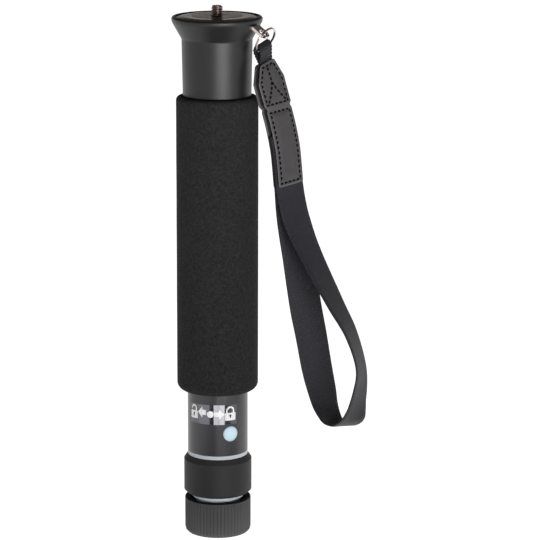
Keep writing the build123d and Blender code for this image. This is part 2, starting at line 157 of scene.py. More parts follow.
# Padding of the leather, in millimetres: the fields' rise, the channel of the seam and the rim's fall
PUFF_HEIGHT = 0.22
PUFF_FROM = 2.2
PUFF_RUN = 2.5
CHANNEL_DEPTH = 0.16
CHANNEL_INSET = 1.9
CHANNEL_WIDTH = 0.55
RIM_FALL = 0.28
RIM_WIDTH = 0.35
FOLD_RIM = 0.6

# Seams across the upper field: from the top's middle down to a fork, then out to both sides
SEAM_TOP = (-0.9, 0.4)
SEAM_MIDDLE = (-0.7, 5.6)
SEAM_FORK = (-0.4, 10.6)
SEAM_SPREAD = 5.9
SEAM_CURVE = 1.35

# Webbing loop: across, out and down in millimetres, and its turn in degrees
LOOP_ROWS = (
    (0.0, -0.75, 46.0, 0.0), (0.0, -0.75, 62.0, 0.0), (0.0, -0.75, 75.0, 0.0),
    (-0.4, -1.2, 84.0, -3.0), (-0.7, -2.0, 94.5, -8.0), (-0.7, -3.7, 112.0, -14.0),
    (-0.7, -6.7, 139.0, -18.5), (0.4, -8.6, 157.0, -16.0), (1.0, -10.2, 176.0, -12.0),
    (1.4, -10.2, 190.0, -2.5), (0.9, -9.0, 198.6, 8.0), (0.0, -4.6, 205.4, 12.0),
    (0.1, 2.2, 207.6, 10.0), (0.6, 8.8, 206.4, 8.0), (1.2, 14.8, 200.8, 14.0),
    (3.3, 21.6, 186.3, 27.0), (4.6, 24.1, 174.0, 35.5), (4.0, 21.9, 156.5, 33.0),
    (2.2, 15.6, 139.0, 25.0), (0.3, 6.5, 112.0, 14.0), (-0.7, 2.9, 94.5, 3.0),
    (-0.4, 1.5, 84.0, 1.0), (0.0, 0.75, 75.0, 0.0), (0.0, 0.75, 62.0, 0.0),
    (0.0, 0.75, 46.0, 0.0),
)

# The lowest turn of the loop leans over to its far side, from this way down on
LOOP_LEAN = 0.26
LOOP_LEAN_FROM = 196.0
LOOP_LEAN_RUN = 8.0

# Webbing's edges, in millimetres: how far in and how much they thin, and the roll beside them
EDGE_THIN = 0.45
EDGE_WIDTH = 0.55
ROLL_HEIGHT = 0.10
ROLL_INSET = 1.6
ROLL_WIDTH = 0.7

# Lock marks: turn and width in degrees, heights from the row's middle and sizes in millimetres
PADLOCKS = (
    {"name": "open", "turn": -50.3, "wide": 18.4, "drop": 3.5, "shackle": 3.3, "open_by": 0.62},
    {"name": "closed", "turn": 24.4, "wide": 21.4, "drop": 3.9, "shackle": 3.6, "open_by": 0.0},
)
ARROWS = (
    {"name": "left", "turn": -31.1, "wide": 17.0, "rise": 0.6, "high": 6.2, "way": -1},
    {"name": "right", "turn": 2.85, "wide": 19.7, "rise": -0.3, "high": 5.4, "way": 1},
)
LOCK_BODY = 4.3
LOCK_CORNER = 0.4
KEYHOLE_RADIUS = 0.62
KEYHOLE_RISE = 2.7
KEYSLOT = (0.6, 1.4)
KEYSLOT_RISE = 1.9
DOT_TURN = -14.3
DOT_DROP = 0.3
DOT_RADIUS = 1.85

# The label's bands: a turn in degrees and the film that starts or ends there; past the plain film they are
# painted reflections of the studio lights
LABEL_SPAN = 140.0
LABEL_REFLECTION_BANDS = (
    (-44, "film"), (-34, "mauve"), (-16.4, "mauve"), (-15.2, "dark"), (-8.2, "dark"), (-7.2, "silver"),
    (2.0, "shade"), (5.5, "silver"), (12.2, "silver"), (13.8, "dark"), (22, "dark"), (27, "film"),
)

# The photograph's camera: place in metres, angles in degrees, and pixels of its picture
CAMERA_PLACE = (0.0, -1.42817, 0.46253)
CAMERA_PITCH = 12.658
CAMERA_ROLL = -0.11
FOCAL_PIXELS = 2690.28
CENTRE_PIXELS = (217.5, 280.55)
PICTURE_PIXELS = 540
SENSOR_WIDTH = 36.0

# Soft lights: place, the point that they face, and size, in metres
FRONT_LIGHT = ((0.31, -0.95, 0.14), (0, 0, 0.16), (0.62, 0.26))
STRIP_LIGHT = ((0.004, -0.36, 0.0006), (0.004, -0.36, 1), (0.035, 0.26))
TOP_LIGHT = ((0.0, 1.0, 2.2), (0, 0.8, 0), (3.0, 2.4))

# Black cloth on the floor in front of the foot: place and size, in metres
FLAG_PLACE = (0.03, -0.255, 0.0002)
FLAG_SIZE = (0.31, 0.45)

# Light along the horizon, by the height of the direction: bright low down and dark above
SKY_BANDS = (
    (0, (1, 1, 1)), (0.07, (0.85, 0.84, 0.83)), (0.20, (0.38, 0.31, 0.27)), (0.27, (0.05, 0.05, 0.05)),
    (1, (0.03, 0.03, 0.03)),
)


# Settings

def length(name, description, default):
    return FloatProperty(
        name=name, description=description, default=default, subtype="DISTANCE", unit="LENGTH")


def watts(name, description, default):
    return FloatProperty(name=name, description=description, default=default, min=0, unit="POWER")


def glow(name, description, default):
    return FloatProperty(name=name, description=description, default=default, min=0)


def colour(name, description, default):
    return FloatVectorProperty(
        name=name, description=description, default=default, size=3, min=0, max=1, subtype="COLOR")


class MONOPOD_PG_finishes(bpy.types.PropertyGroup):
    head_paint: colour("Head paint", "Satin paint of the head", (0.007, 0.007, 0.0078))
    tube_anodising: colour("Tube anodising", "Dark anodised aluminium of the tubes", (0.030, 0.030, 0.034))
    platform_top: colour("Platform face", "Matte face of the camera platform", (0.060, 0.044, 0.036))
    platform_rim: colour("Platform rim", "Satin ring round the platform face", (0.016, 0.014, 0.012))
    foam: colour("Foam", "Closed-cell foam of the grip", (0.0175, 0.0175, 0.0182))
    sleeve: colour("Grip sleeve", "Moulded sleeve round the second tube", (0.024, 0.0232, 0.0232))
    foot: colour("Foot", "Rubber of the foot", (0.066, 0.066, 0.068))
    ring: colour("End ring", "Pale ring at each tube's end", (0.50, 0.54, 0.58))
    marker: colour("Marker", "Round pale sticker", (0.56, 0.75, 0.84))
    webbing: colour("Webbing", "Nylon webbing of the strap", (0.0048, 0.0046, 0.0060))
    leather: colour("Leather", "Leather of the strap's tab", (0.040, 0.0375, 0.040))
    thread: colour("Thread", "Sewing thread of the tab", (0.0015, 0.0015, 0.0018))
    stud: colour("Stud", "Blackened steel of the camera stud", (0.16, 0.12, 0.11))
    chrome: colour("Chrome", "Lug and split ring", (0.58, 0.51, 0.49))
    steel: colour("Steel", "Zinc-plated nut, screw and washer", (0.55, 0.55, 0.55))
    acetal: colour("Acetal", "Lock collets", (0.66, 0.66, 0.63))
    inner: colour("Inner plastic", "Lock cones and the foot's core", (0.05, 0.05, 0.05))
    # Painted shade colour: it paints the sides of the platform's pieces and the foot's upward faces black.
    black: colour("Black", "Sides of the platform's pieces", (0.006, 0.006, 0.006))


class MONOPOD_PG_print(bpy.types.PropertyGroup):
    film: colour("Film", "Clear film over the dark tube", (0.060, 0.060, 0.070))
    # Painted reflections of the studio lights on the glossy film: the mauve, dark, silver and shade bands.
    mauve: colour("Mauve", "Mauve-grey panel", (0.13, 0.125, 0.15))
    dark: colour("Dark", "Dark bars beside the silver panel", (0.012, 0.014, 0.020))
    silver: colour("Silver", "Silver panel", (0.62, 0.62, 0.66))
    shade: colour("Shade", "Darker middle of the silver panel", (0.42, 0.42, 0.46))
    white: colour("White", "Printed marks", (0.94, 0.95, 0.96))
    black: colour("Black", "Keyholes of the padlocks", (0.012, 0.013, 0.017))


class MONOPOD_PG_grip(bpy.types.PropertyGroup):
    top_round: length("Top rounding", "Rounding of the foam's upper edge", 2.5 * MM)
    low_round: length("Lower rounding", "Rounding of the foam's lower edge", 4.0 * MM)
    cell_size: length("Cell size", "Size of the foam's surface cells", 0.35 * MM)


class MONOPOD_PG_stud(bpy.types.PropertyGroup):
    pitch: length("Thread pitch", "Distance between the stud's thread crests", 1.27 * MM)
    depth: length("Thread depth", "Height of the stud's thread", 0.72 * MM)
    radius: length("Thread radius", "Outer radius of the stud's thread", 3.15 * MM)


class MONOPOD_PG_strap(bpy.types.PropertyGroup):
    stitch_length: length("Stitch length", "Length of one visible stitch", 2.15 * MM)
    stitch_pitch: length("Stitch pitch", "Distance from one stitch to the next", 2.75 * MM)
    stitch_inset: length("Stitch inset", "Distance of the seam from the leather's edge", 1.9 * MM)
    webbing_width: length("Webbing width", "Width of the loop's webbing", 18.0 * MM)
    webbing_thickness: length("Webbing thickness", "Thickness of the loop's webbing", 1.3 * MM)
    hanger_width: length("Hanger width", "Width of the narrow webbing in the split ring", 8.2 * MM)
    stations: IntProperty(name="Stations", description="Rows of faces along the loop", default=220, min=40)


class MONOPOD_PG_marks(bpy.types.PropertyGroup):
    lift: length("Print thickness", "How far the white marks stand on the film", 0.02 * MM)
    middle: length("Height", "Height of the row of marks", 71.0 * MM)


class MONOPOD_PG_studio(bpy.types.PropertyGroup):
    floor_colour: colour("Floor", "Plain pale floor", (0.90, 0.90, 0.90))
    floor_size: length("Floor size", "Width of the floor", 14.0)
    table: glow("Light table", "Glow of the floor", 1.0)
    sky: glow("Sky", "Strength of the light along the horizon", 1.0)
    key: watts("Key", "Power of the low front softbox", 6.9)
    low: watts("Low strip", "Power of the narrow strip on the floor", 0.08)
    top: watts("Top", "Power of the softbox overhead", 6.0)


# Modelling by hand

def only(*objects):
    bpy.ops.object.select_all(action="DESELECT")
    for item in objects:
        item.select_set(True)
    bpy.context.view_layer.objects.active = objects[0]


def add(primitive, name, **values):
    """Adds a primitive mesh, names it and returns it, selected by itself."""
    bpy.ops.object.select_all(action="DESELECT")
    primitive(**values)
    made = bpy.context.object
    made.name = made.data.name = name
    only(made)
    return made


def clamped(value):
    return min(max(value, 0.0), 1.0)


def edit(item, select="DESELECT", mode="VERT"):
    only(item)
    bpy.ops.object.mode_set(mode="EDIT")
    bpy.ops.mesh.select_mode(type=mode)
    bpy.ops.mesh.select_all(action=select)


def leave():
    bpy.ops.object.mode_set(mode="OBJECT")


def pick(item, test, kind="verts"):
    """Selects the vertices, edges or faces that pass a test, in edit mode."""
    shape = bmesh.from_edit_mesh(item.data)
    for element in getattr(shape, kind):
        element.select = test(element)
    shape.select_flush_mode()
    bmesh.update_edit_mesh(item.data)


def modify(item, kind, **values):
    """Adds a modifier and applies it."""
    only(item)
    modifier = item.modifiers.new(kind.title(), kind)
    for key, value in values.items():
        setattr(modifier, key, value)
    bpy.ops.object.modifier_apply(modifier=modifier.name)


def settle(item):
    """Puts a piece's place in its mesh and leaves its object at the origin."""
    only(item)
    bpy.ops.object.transform_apply(location=True, rotation=True, scale=True)


def outward(item):
    edit(item, "SELECT")
    bpy.ops.mesh.remove_doubles(threshold=MERGE)
    bpy.ops.mesh.normals_make_consistent(inside=False)
    leave()


def hand_over(item, body, material, angle=40, stands_for=()):
    """Smooths a finished piece, gives it its material and hands it to a body of the frame."""
    settle(item)
    item.data.materials.clear()
    item.data.materials.append(material)
    bpy.ops.object.shade_smooth_by_angle(angle=math.radians(angle))
    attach(item, body)
    if stands_for:
        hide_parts(*stands_for)
    return item


def join(name, pieces):
    only(*pieces)
    if len(pieces) > 1:
        bpy.ops.object.join()
    made = bpy.context.object
    made.name = made.data.name = name
    return made


def turn_on_lathe(name, outline, sides):
    """Turned piece from (radius, height) points: a circle is extruded ring by ring along them."""
    first = outline[0]
    made = add(
        bpy.ops.mesh.primitive_circle_add, name, vertices=sides, radius=first[0], location=(0, 0, first[1]))
    settle(made)
    edit(made, "SELECT", "EDGE")
    here = first
    for radius, height in outline[1:]:
        bpy.ops.mesh.extrude_region_move(TRANSFORM_OT_translate={"value": (0, 0, height - here[1])})
        share = radius / here[0]
        bpy.ops.transform.resize(value=(share, share, 1), center_override=(0, 0, height))
        here = (radius, height)
    ends = (first, here)

    def at_end(edge):
        places = [(math.hypot(v.co.x, v.co.y), v.co.z) for v in edge.verts]
        return len(edge.link_faces) < 2 and all(
            min(math.dist(place, end) for end in ends) < NEAR for place in places)

    pick(made, at_end, "edges")
    bpy.ops.mesh.bridge_edge_loops()
    leave()
    outward(made)
    return made


def rounded(before, corner, after, radius, steps=6):
    """Points of an arc that rounds one corner of an outline."""
    corner = Vector(corner)
    a = (Vector(before) - corner).normalized()
    b = (Vector(after) - corner).normalized()
    half = a.angle(b) / 2
    reach = radius / math.tan(half)
    middle = corner + (a + b).normalized() * radius / math.sin(half)
    first, last = corner + a * reach - middle, corner + b * reach - middle
    arc = []
    for step in range(steps + 1):
        share = step / steps
        spoke = first.lerp(last, share).normalized() * radius
        arc.append(tuple(middle + spoke))
    return arc


def outline_with_rounds(points, rounds):
    """Closed outline whose corners listed in rounds, as index: radius, are rounded."""
    outline = []
    for index, point in enumerate(points):
        if index in rounds:
            outline += rounded(points[index - 1], point, points[(index + 1) % len(points)], rounds[index])
        else:
            outline.append(tuple(point))
    return outline


def arc_about(radius, height, rounding, first, last, steps):
    """Points of an arc about (radius, height), between two angles in degrees from straight outwards."""
    points = []
    for step in range(steps + 1):
        angle = math.radians(first + (last - first) * step / steps)
        points.append((radius + rounding * math.cos(angle), height + rounding * math.sin(angle)))
    return points


def on_curve(rows, index, share):
    """Place on a smooth curve through rows of numbers, at a share of the way from one row to the next."""
    a, b, c, d = (Vector(rows[max(0, min(len(rows) - 1, index + shift))]) for shift in (-1, 0, 1, 2))
    return 0.5 * (2 * b + (c - a) * share + (2 * a - 5 * b + 4 * c - d) * share ** 2
                  + (3 * b - a - 3 * c + d) * share ** 3)


def smooth_route(rows, count, fine_steps=24):
    """Even steps along a smooth line through rows of numbers of any length, and the line's length."""
    fine = []
    for index in range(len(rows) - 1):
        fine += [on_curve(rows, index, step / fine_steps) for step in range(fine_steps)]
    fine.append(Vector(rows[-1]))
    marks = [0.0]
    for one, two in zip(fine, fine[1:]):
        marks.append(marks[-1] + (two - one).to_3d().length)
    steps, place = [], 0
    for number in range(count + 1):
        want = marks[-1] * number / count
        while place < len(marks) - 2 and marks[place + 1] < want:
            place += 1
        share = (want - marks[place]) / max(marks[place + 1] - marks[place], 1e-9)
        steps.append(fine[place].lerp(fine[place + 1], min(1.0, share)))
    return steps, marks[-1]


def headings(places):
    """Direction of a line of places at each of them."""
    last = len(places) - 1
    runs = []
    for index in range(last + 1):
        runs.append((places[min(index + 1, last)] - places[max(index - 1, 0)]).normalized())
    return runs


# The strap's own space

def bow(down):
    """How far the strap's gentle curve stands aside, in millimetres, at a way down it."""
    if down <= BOW[0][0]:
        return BOW[0][1]
    if down >= BOW[-1][0]:
        return BOW[-1][1]
    index = max(i for i in range(len(BOW) - 1) if BOW[i][0] <= down)
    share = (down - BOW[index][0]) / (BOW[index + 1][0] - BOW[index][0])
    return on_curve(BOW, index, share).y


def strap_place(across, out, down):
    """Point of the row frame, in metres, from millimetres across, out and down the strap."""
    return STRAP_TOP + (STRAP_ACROSS * (across + bow(down)) + STRAP_OUT * out + STRAP_DOWN * down) * MM


def hang(item):
    """Moves a piece modelled flat, with x across, y up and z out in metres, onto the strap."""
    settle(item)
    for vertex in item.data.vertices:
        across, down = vertex.co.x / MM, -vertex.co.y / MM
        slant = TOP_SLANT * across * clamped((TOP_SLANT_END - down) / TOP_SLANT_RUN)
        vertex.co = strap_place(across, vertex.co.z / MM, down - slant)
    item.data.update()


def along_strip(item, places, fronts, widths):
    """Lays a flat strip (x across, y from 0 to 1 along) on a route of places and its frames."""
    last = len(places) - 1
    for vertex in item.data.vertices:
        step = vertex.co.y * last
        low = min(int(step + NEAR), last - 1)
        share = clamped(step - low)
        place = places[low].lerp(places[low + 1], share)
        across = widths[low].lerp(widths[low + 1], share).normalized()
        out = fronts[low].lerp(fronts[low + 1], share).normalized()
        vertex.co = place + across * vertex.co.x + out * vertex.co.z
    item.data.update()


def strip(name, width, length_along, across_count, along_count):
    """Flat strip with x across in metres and y from 0 to 1, and its map in millimetres."""
    made = add(bpy.ops.mesh.primitive_grid_add, name, x_subdivisions=across_count, y_subdivisions=along_count,
               size=1, location=(0, 0.5, 0))
    settle(made)
    layer = made.data.uv_layers.active or made.data.uv_layers.new(name="UVMap")
    for loop in made.data.loops:
        co = made.data.vertices[loop.vertex_index].co
        layer.data[loop.index].uv = (co.x * width / MM, co.y * length_along / MM)
    for vertex in made.data.vertices:
        vertex.co.x *= width
    return made


# Shader nodes

def feed(tree, socket, value):
    """Links a socket to another node's output, or sets it where the value is plain."""
    if isinstance(value, bpy.types.NodeSocket):
        tree.links.new(value, socket)
    else:
        socket.default_value = value


def put(tree, kind, **inputs):
    """New node with some sockets fed; an underscore stands for a space in a socket's name."""
    node = tree.nodes.new(kind)
    for name, value in inputs.items():
        feed(tree, node.inputs[name.replace("_", " ")], value)
    return node


def math_node(tree, operation, *values):
    node = tree.nodes.new("ShaderNodeMath")
    node.operation = operation
    for index, value in enumerate(values):
        feed(tree, node.inputs[index], value)
    return node.outputs[0]


def times(tree, one, two):
    return math_node(tree, "MULTIPLY", one, two)


def plus(tree, one, two):
    return math_node(tree, "ADD", one, two)


def minus(tree, one, two):
    return math_node(tree, "SUBTRACT", one, two)


def ribs(tree, value, rate):
    """Rounded ribs: the absolute sine of a value times a rate."""
    return math_node(tree, "ABSOLUTE", math_node(tree, "SINE", times(tree, value, rate)))


def parts(tree, vector):
    """Outputs X, Y and Z of a vector."""
    split = tree.nodes.new("ShaderNodeSeparateXYZ")
    tree.links.new(vector, split.inputs[0])
    return split.outputs


def cloud(tree, vector, scale, detail, roughness=0.5):
    node = put(tree, "ShaderNodeTexNoise", Vector=vector, Scale=scale, Detail=detail, Roughness=roughness)
    return node.outputs["Fac"]


def new_group(name, inputs, outputs):
    """New node group. An input's default gives its kind: None for a vector, or a colour or a number."""
    group = bpy.data.node_groups.new(name, "ShaderNodeTree")
    for label, default in inputs.items():
        kind = "Vector" if default is None else "Color" if isinstance(default, tuple) else "Float"
        socket = group.interface.new_socket(label, in_out="INPUT", socket_type=f"NodeSocket{kind}")
        if default is not None:
            socket.default_value = default
    for label, kind in outputs.items():
        group.interface.new_socket(label, in_out="OUTPUT", socket_type=f"NodeSocket{kind}")
    given, result = group.nodes.new("NodeGroupInput"), group.nodes.new("NodeGroupOutput")
    return group, given.outputs, result.inputs


def tone_group():
    """Uneven tone: a colour drifts darker and lighter over the surface."""
    group, given, result = new_group(
        "Uneven tone", {"Vector": None, "Colour": (0.5, 0.5, 0.5, 1), "Scale": 40.0, "Amount": 0.2},
        {"Colour": "Color"})
    drift = cloud(group, given["Vector"], given["Scale"], 4.0, 0.6)
    swing = times(group, minus(group, drift, 0.5), given["Amount"])
    factor = plus(group, times(group, swing, 2.0), 1.0)
    scale = group.nodes.new("ShaderNodeVectorMath")
    scale.operation = "SCALE"
    group.links.new(given["Colour"], scale.inputs[0])
    group.links.new(factor, scale.inputs["Scale"])
    group.links.new(scale.outputs["Vector"], result["Colour"])
    return group


def grain_group():
    """Fine grain: small pits and bumps for moulded, painted and foamed surfaces."""
    group, given, result = new_group(
        "Fine grain", {"Vector": None, "Scale": 3000.0, "Pits": 0.5}, {"Height": "Float"})
    bumps = cloud(group, given["Vector"], given["Scale"], 3.0, 0.65)
    cells = put(group, "ShaderNodeTexVoronoi", Vector=given["Vector"], Scale=given["Scale"])
    pits = times(group, cells.outputs["Distance"], given["Pits"])
    group.links.new(plus(group, bumps, pits), result["Height"])
    return group


def gloss_group():
    """Patchy gloss: roughness that wanders between two values."""
    group, given, result = new_group(
        "Patchy gloss", {"Vector": None, "Scale": 60.0, "Low": 0.3, "High": 0.5}, {"Roughness": "Float"})
    patches = cloud(group, given["Vector"], given["Scale"], 5.0, 0.65)
    span = minus(group, given["High"], given["Low"])
    group.links.new(plus(group, times(group, patches, span), given["Low"]), result["Roughness"])
    return group


def weave_group():
    """Twill weave on a map in millimetres: diagonal ridges cut by threads, with ribs across if asked."""
    group, given, result = new_group(
        "Twill weave", {"Vector": None, "Thread": 0.55, "Ribs": 0.0}, {"Height": "Float", "Light": "Float"})
    split = parts(group, given["Vector"])
    across = math_node(group, "DIVIDE", split["X"], given["Thread"])
    along = math_node(group, "DIVIDE", split["Y"], given["Thread"])
    ridge = ribs(group, plus(group, across, along), math.pi)
    thread = plus(group, times(group, ribs(group, along, math.pi * 3), 0.4), 0.6)
    twill = math_node(group, "POWER", times(group, ridge, thread), 1.6)
    ribbed = times(group, ribs(group, along, math.pi / 3), given["Ribs"])
    group.links.new(plus(group, twill, ribbed), result["Height"])
    # Light: the twill's ridges, which the webbing paints lighter as a painted highlight.
    group.links.new(twill, result["Light"])
    return group


GROUP_MAKERS = {
    "Uneven tone": tone_group,
    "Fine grain": grain_group,
    "Patchy gloss": gloss_group,
    "Twill weave": weave_group,
}
GROUPS = {}


def group_node(tree, name, **values):
    """Outputs of a shared node group that is placed in a material with its inputs fed."""
    if name not in GROUPS:
        GROUPS[name] = GROUP_MAKERS[name]()
    node = tree.nodes.new("ShaderNodeGroup")
    node.node_tree = GROUPS[name]
    for key, value in values.items():
        feed(tree, node.inputs[key], value)
    return node.outputs


def upward(tree, least):
    """Mask of the faces whose normal points up by more than a share."""
    facing = tree.nodes.new("ShaderNodeNewGeometry")
    return math_node(tree, "GREATER_THAN", parts(tree, facing.outputs["Normal"])["Z"], least)


def mix_colour(tree, mask, one, two):
    """Colour one where a mask is 0 and colour two where it is 1."""
    node = tree.nodes.new("ShaderNodeMix")
    node.data_type = "RGBA"
    factor, colour_a, colour_b, colour_out = 0, 6, 7, 2
    for index, value in ((factor, mask), (colour_a, one), (colour_b, two)):
        feed(tree, node.inputs[index], value)
    return node.outputs[colour_out]


def ramp_steps(tree, value, stops):
    """Colour ramp whose stops are (place, colour)."""
    node = tree.nodes.new("ShaderNodeValToRGB")
    ramp = node.color_ramp
    while len(ramp.elements) < len(stops):
        ramp.elements.new(0.5)
    for element, (place, tint) in zip(ramp.elements, stops):
        element.position = place
        element.color = rgba(tint)
    tree.links.new(value, node.inputs["Fac"])
    return node.outputs["Color"]


# Materials

MATERIALS = {}


def rgba(value):
    return (*tuple(value)[:3], 1.0)


def lighter(value, factor):
    """A colour times a factor, with no part over 1."""
    return tuple(min(1.0, part * factor) for part in value)


def blank(name, **principled):
    """New material: its tree, its Principled node and the outputs of its coordinates."""
    material = bpy.data.materials.new(name)
    material.use_nodes = True
    tree = material.node_tree
    shader = tree.nodes["Principled BSDF"]
    for key, value in principled.items():
        shader.inputs[key.replace("_", " ")].default_value = value
    return material, tree, shader, tree.nodes.new("ShaderNodeTexCoord").outputs


def bump(tree, shader, height, strength, distance):
    node = put(tree, "ShaderNodeBump", Strength=strength, Distance=distance, Height=height)
    tree.links.new(node.outputs["Normal"], shader.inputs["Normal"])


def toned(tree, vector, tint, scale, amount):
    """A tint that drifts by an amount over the surface."""
    tone = group_node(tree, "Uneven tone", Vector=vector, Colour=rgba(tint), Scale=scale, Amount=amount)
    return tone["Colour"]


def glossed(tree, shader, vector, scale, low, high):
    """Gives a shader its patchy gloss."""
    gloss = group_node(tree, "Patchy gloss", Vector=vector, Scale=scale, Low=low, High=high)
    tree.links.new(gloss["Roughness"], shader.inputs["Roughness"])


def grained(tree, shader, vector, scale, pits, strength, depth):
    """Gives a shader its fine grain, as bumps of a depth in millimetres."""
    grain = group_node(tree, "Fine grain", Vector=vector, Scale=scale, Pits=pits)
    bump(tree, shader, grain["Height"], strength, depth * MM)


def surface(name, tint, low, high, drift=0.18, drift_scale=45.0, gloss_scale=90.0, grain=3000.0,
            depth=0.02, pits=0.5, painted_shade_top=None, **principled):
    """Plain surface with uneven tone, patchy gloss and fine grain; its upward faces may be painted darker as
    painted shade.
    """
    if name in MATERIALS:
        return MATERIALS[name]
    material, tree, shader, place = blank(name, **principled)
    spot = place["Object"]
    tint_out = toned(tree, spot, tint, drift_scale, drift)
    # Painted shade: upward faces take a given shade colour, standing for shade that falls on them.
    if painted_shade_top is not None:
        tint_out = mix_colour(tree, upward(tree, 0.4), tint_out, rgba(painted_shade_top))
    tree.links.new(tint_out, shader.inputs["Base Color"])
    glossed(tree, shader, spot, gloss_scale, low, high)
    grained(tree, shader, spot, grain, pits, 0.5, depth)
    MATERIALS[name] = material
    return material


def platform_material(name, tint, side, roughness):
    """Matte or satin face whose sides, told apart by which way the surface faces, are painted black as
    painted shade.
    """
    material, tree, shader, place = blank(name, Roughness=roughness, Specular_IOR_Level=0.5)
    face = toned(tree, place["Object"], tint, 160.0, 0.25)
    # Painted shade: faces that do not point up take the black side colour.
    tree.links.new(mix_colour(tree, upward(tree, 0.9), rgba(side), face), shader.inputs["Base Color"])
    grained(tree, shader, place["Object"], 2400.0, 0.8, 0.5, 0.04)
    return material


def chrome_material(finishes):
    return surface("chrome", finishes.chrome, 0.08, 0.16, drift=0.05, Metallic=1.0, grain=900.0, depth=0.01)


def tube_material(finishes):
    """Anodised aluminium with fine drawing lines along the tube."""
    material, tree, shader, place = blank("anodised_tube")
    stretch = put(tree, "ShaderNodeMapping", Scale=(1.0, 1.0, 0.02), Vector=place["Object"]).outputs["Vector"]
    tint = toned(tree, place["Object"], finishes.tube_anodising, 60.0, 0.12)
    tree.links.new(tint, shader.inputs["Base Color"])
    glossed(tree, shader, stretch, 900.0, 0.26, 0.36)
    bump(tree, shader, cloud(tree, stretch, 2600.0, 2.0), 0.25, 0.01 * MM)
    return material


def label_material(inks):
    """Glossy film with painted reflections of the studio lights: a silver band between dark bars, beside a
    mauve-grey band.
    """
    material, tree, shader, place = blank("printed_film", Coat_Weight=0.5, Coat_Roughness=0.08)
    spot = place["Object"]
    split = parts(tree, spot)
    turn = math_node(tree, "ARCTAN2", split["X"], times(tree, split["Y"], -1.0))
    share = plus(tree, times(tree, turn, math.degrees(1) / LABEL_SPAN), 0.5)
    # Painted reflection: the film is coloured in bands by their turn round the tube.
    stops = [(0.5 + degrees / LABEL_SPAN, getattr(inks, ink)) for degrees, ink in LABEL_REFLECTION_BANDS]
    tree.links.new(ramp_steps(tree, share, stops), shader.inputs["Base Color"])
    glossed(tree, shader, spot, 200.0, 0.20, 0.30)
    grained(tree, shader, spot, 1500.0, 0.2, 0.2, 0.01)
    return material


def marker_material(finishes):
    """Pale sticker whose tint deepens towards its edge."""
    material, tree, shader, place = blank("pale_sticker", Roughness=0.35, Coat_Weight=0.4)
    low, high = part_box("marker_dot")
    centred = put(tree, "ShaderNodeMapping", Location=-(low + high) / 2, Vector=place["Object"])
    far = tree.nodes.new("ShaderNodeVectorMath")
    far.operation = "LENGTH"
    tree.links.new(centred.outputs["Vector"], far.inputs[0])
    share = math_node(tree, "DIVIDE", far.outputs["Value"], (high - low).z / 2)
    pale = finishes.marker
    tint = ramp_steps(tree, share, [(0.0, lighter(pale, 1.12)), (0.75, pale), (1.0, lighter(pale, 0.72))])
    tree.links.new(tint, shader.inputs["Base Color"])
    grained(tree, shader, place["Object"], 1800.0, 0.3, 0.2, 0.01)
    return material


def webbing_material(finishes, name="webbing", rib_height=0.0, thread=1.5):
    """Woven nylon: twill threads on the strip's own map, their ridges painted lighter as a painted highlight,
    with a soft sheen.
    """
    material, tree, shader, place = blank(
        name, Roughness=0.62, Sheen_Weight=0.10, Sheen_Roughness=0.45, Specular_IOR_Level=0.25)
    weave = group_node(tree, "Twill weave", Vector=place["UV"], Thread=thread, Ribs=rib_height)
    dark = toned(tree, place["Object"], finishes.webbing, 900.0, 1.6)
    # Painted highlight: the twill's ridges are painted lighter than the dark webbing.
    tint = mix_colour(tree, weave["Light"], dark, rgba(lighter(finishes.webbing, 6.5)))
    tree.links.new(tint, shader.inputs["Base Color"])
    bump(tree, shader, weave["Height"], 0.7, 0.12 * MM)
    return material


def leather_material(finishes):
    """Grained leather with a painted highlight along its rim and a pressed seam channel."""
    material, tree, shader, place = blank("leather")
    spot = place["Object"]
    rim = tree.nodes.new("ShaderNodeAttribute")
    rim.attribute_name = "rim_mm"
    distance = rim.outputs["Fac"]
    # Painted highlight: within 1.5 mm of the rim the leather is painted lighter, standing for the gloss on
    # its rounded rim.
    edge = minus(tree, 1.0, math_node(tree, "DIVIDE", distance, 1.5))
    edge = math_node(tree, "MINIMUM", math_node(tree, "MAXIMUM", edge, 0.0), 1.0)
    plain = toned(tree, spot, finishes.leather, 260.0, 0.28)
    tint = mix_colour(tree, times(tree, edge, 0.75), plain, rgba(lighter(finishes.leather, 2.1)))
    tree.links.new(tint, shader.inputs["Base Color"])
    glossed(tree, shader, spot, 400.0, 0.42, 0.62)
    pitted = group_node(tree, "Fine grain", Vector=spot, Scale=1500.0, Pits=1.2)
    channel = math_node(tree, "ABSOLUTE", minus(tree, distance, CHANNEL_INSET))
    channel = math_node(tree, "MINIMUM", math_node(tree, "DIVIDE", channel, 0.6), 1.0)
    height = plus(tree, times(tree, pitted["Height"], 0.25), times(tree, channel, 1.2))
    bump(tree, shader, height, 0.6, 0.14 * MM)
    return material


# Operators

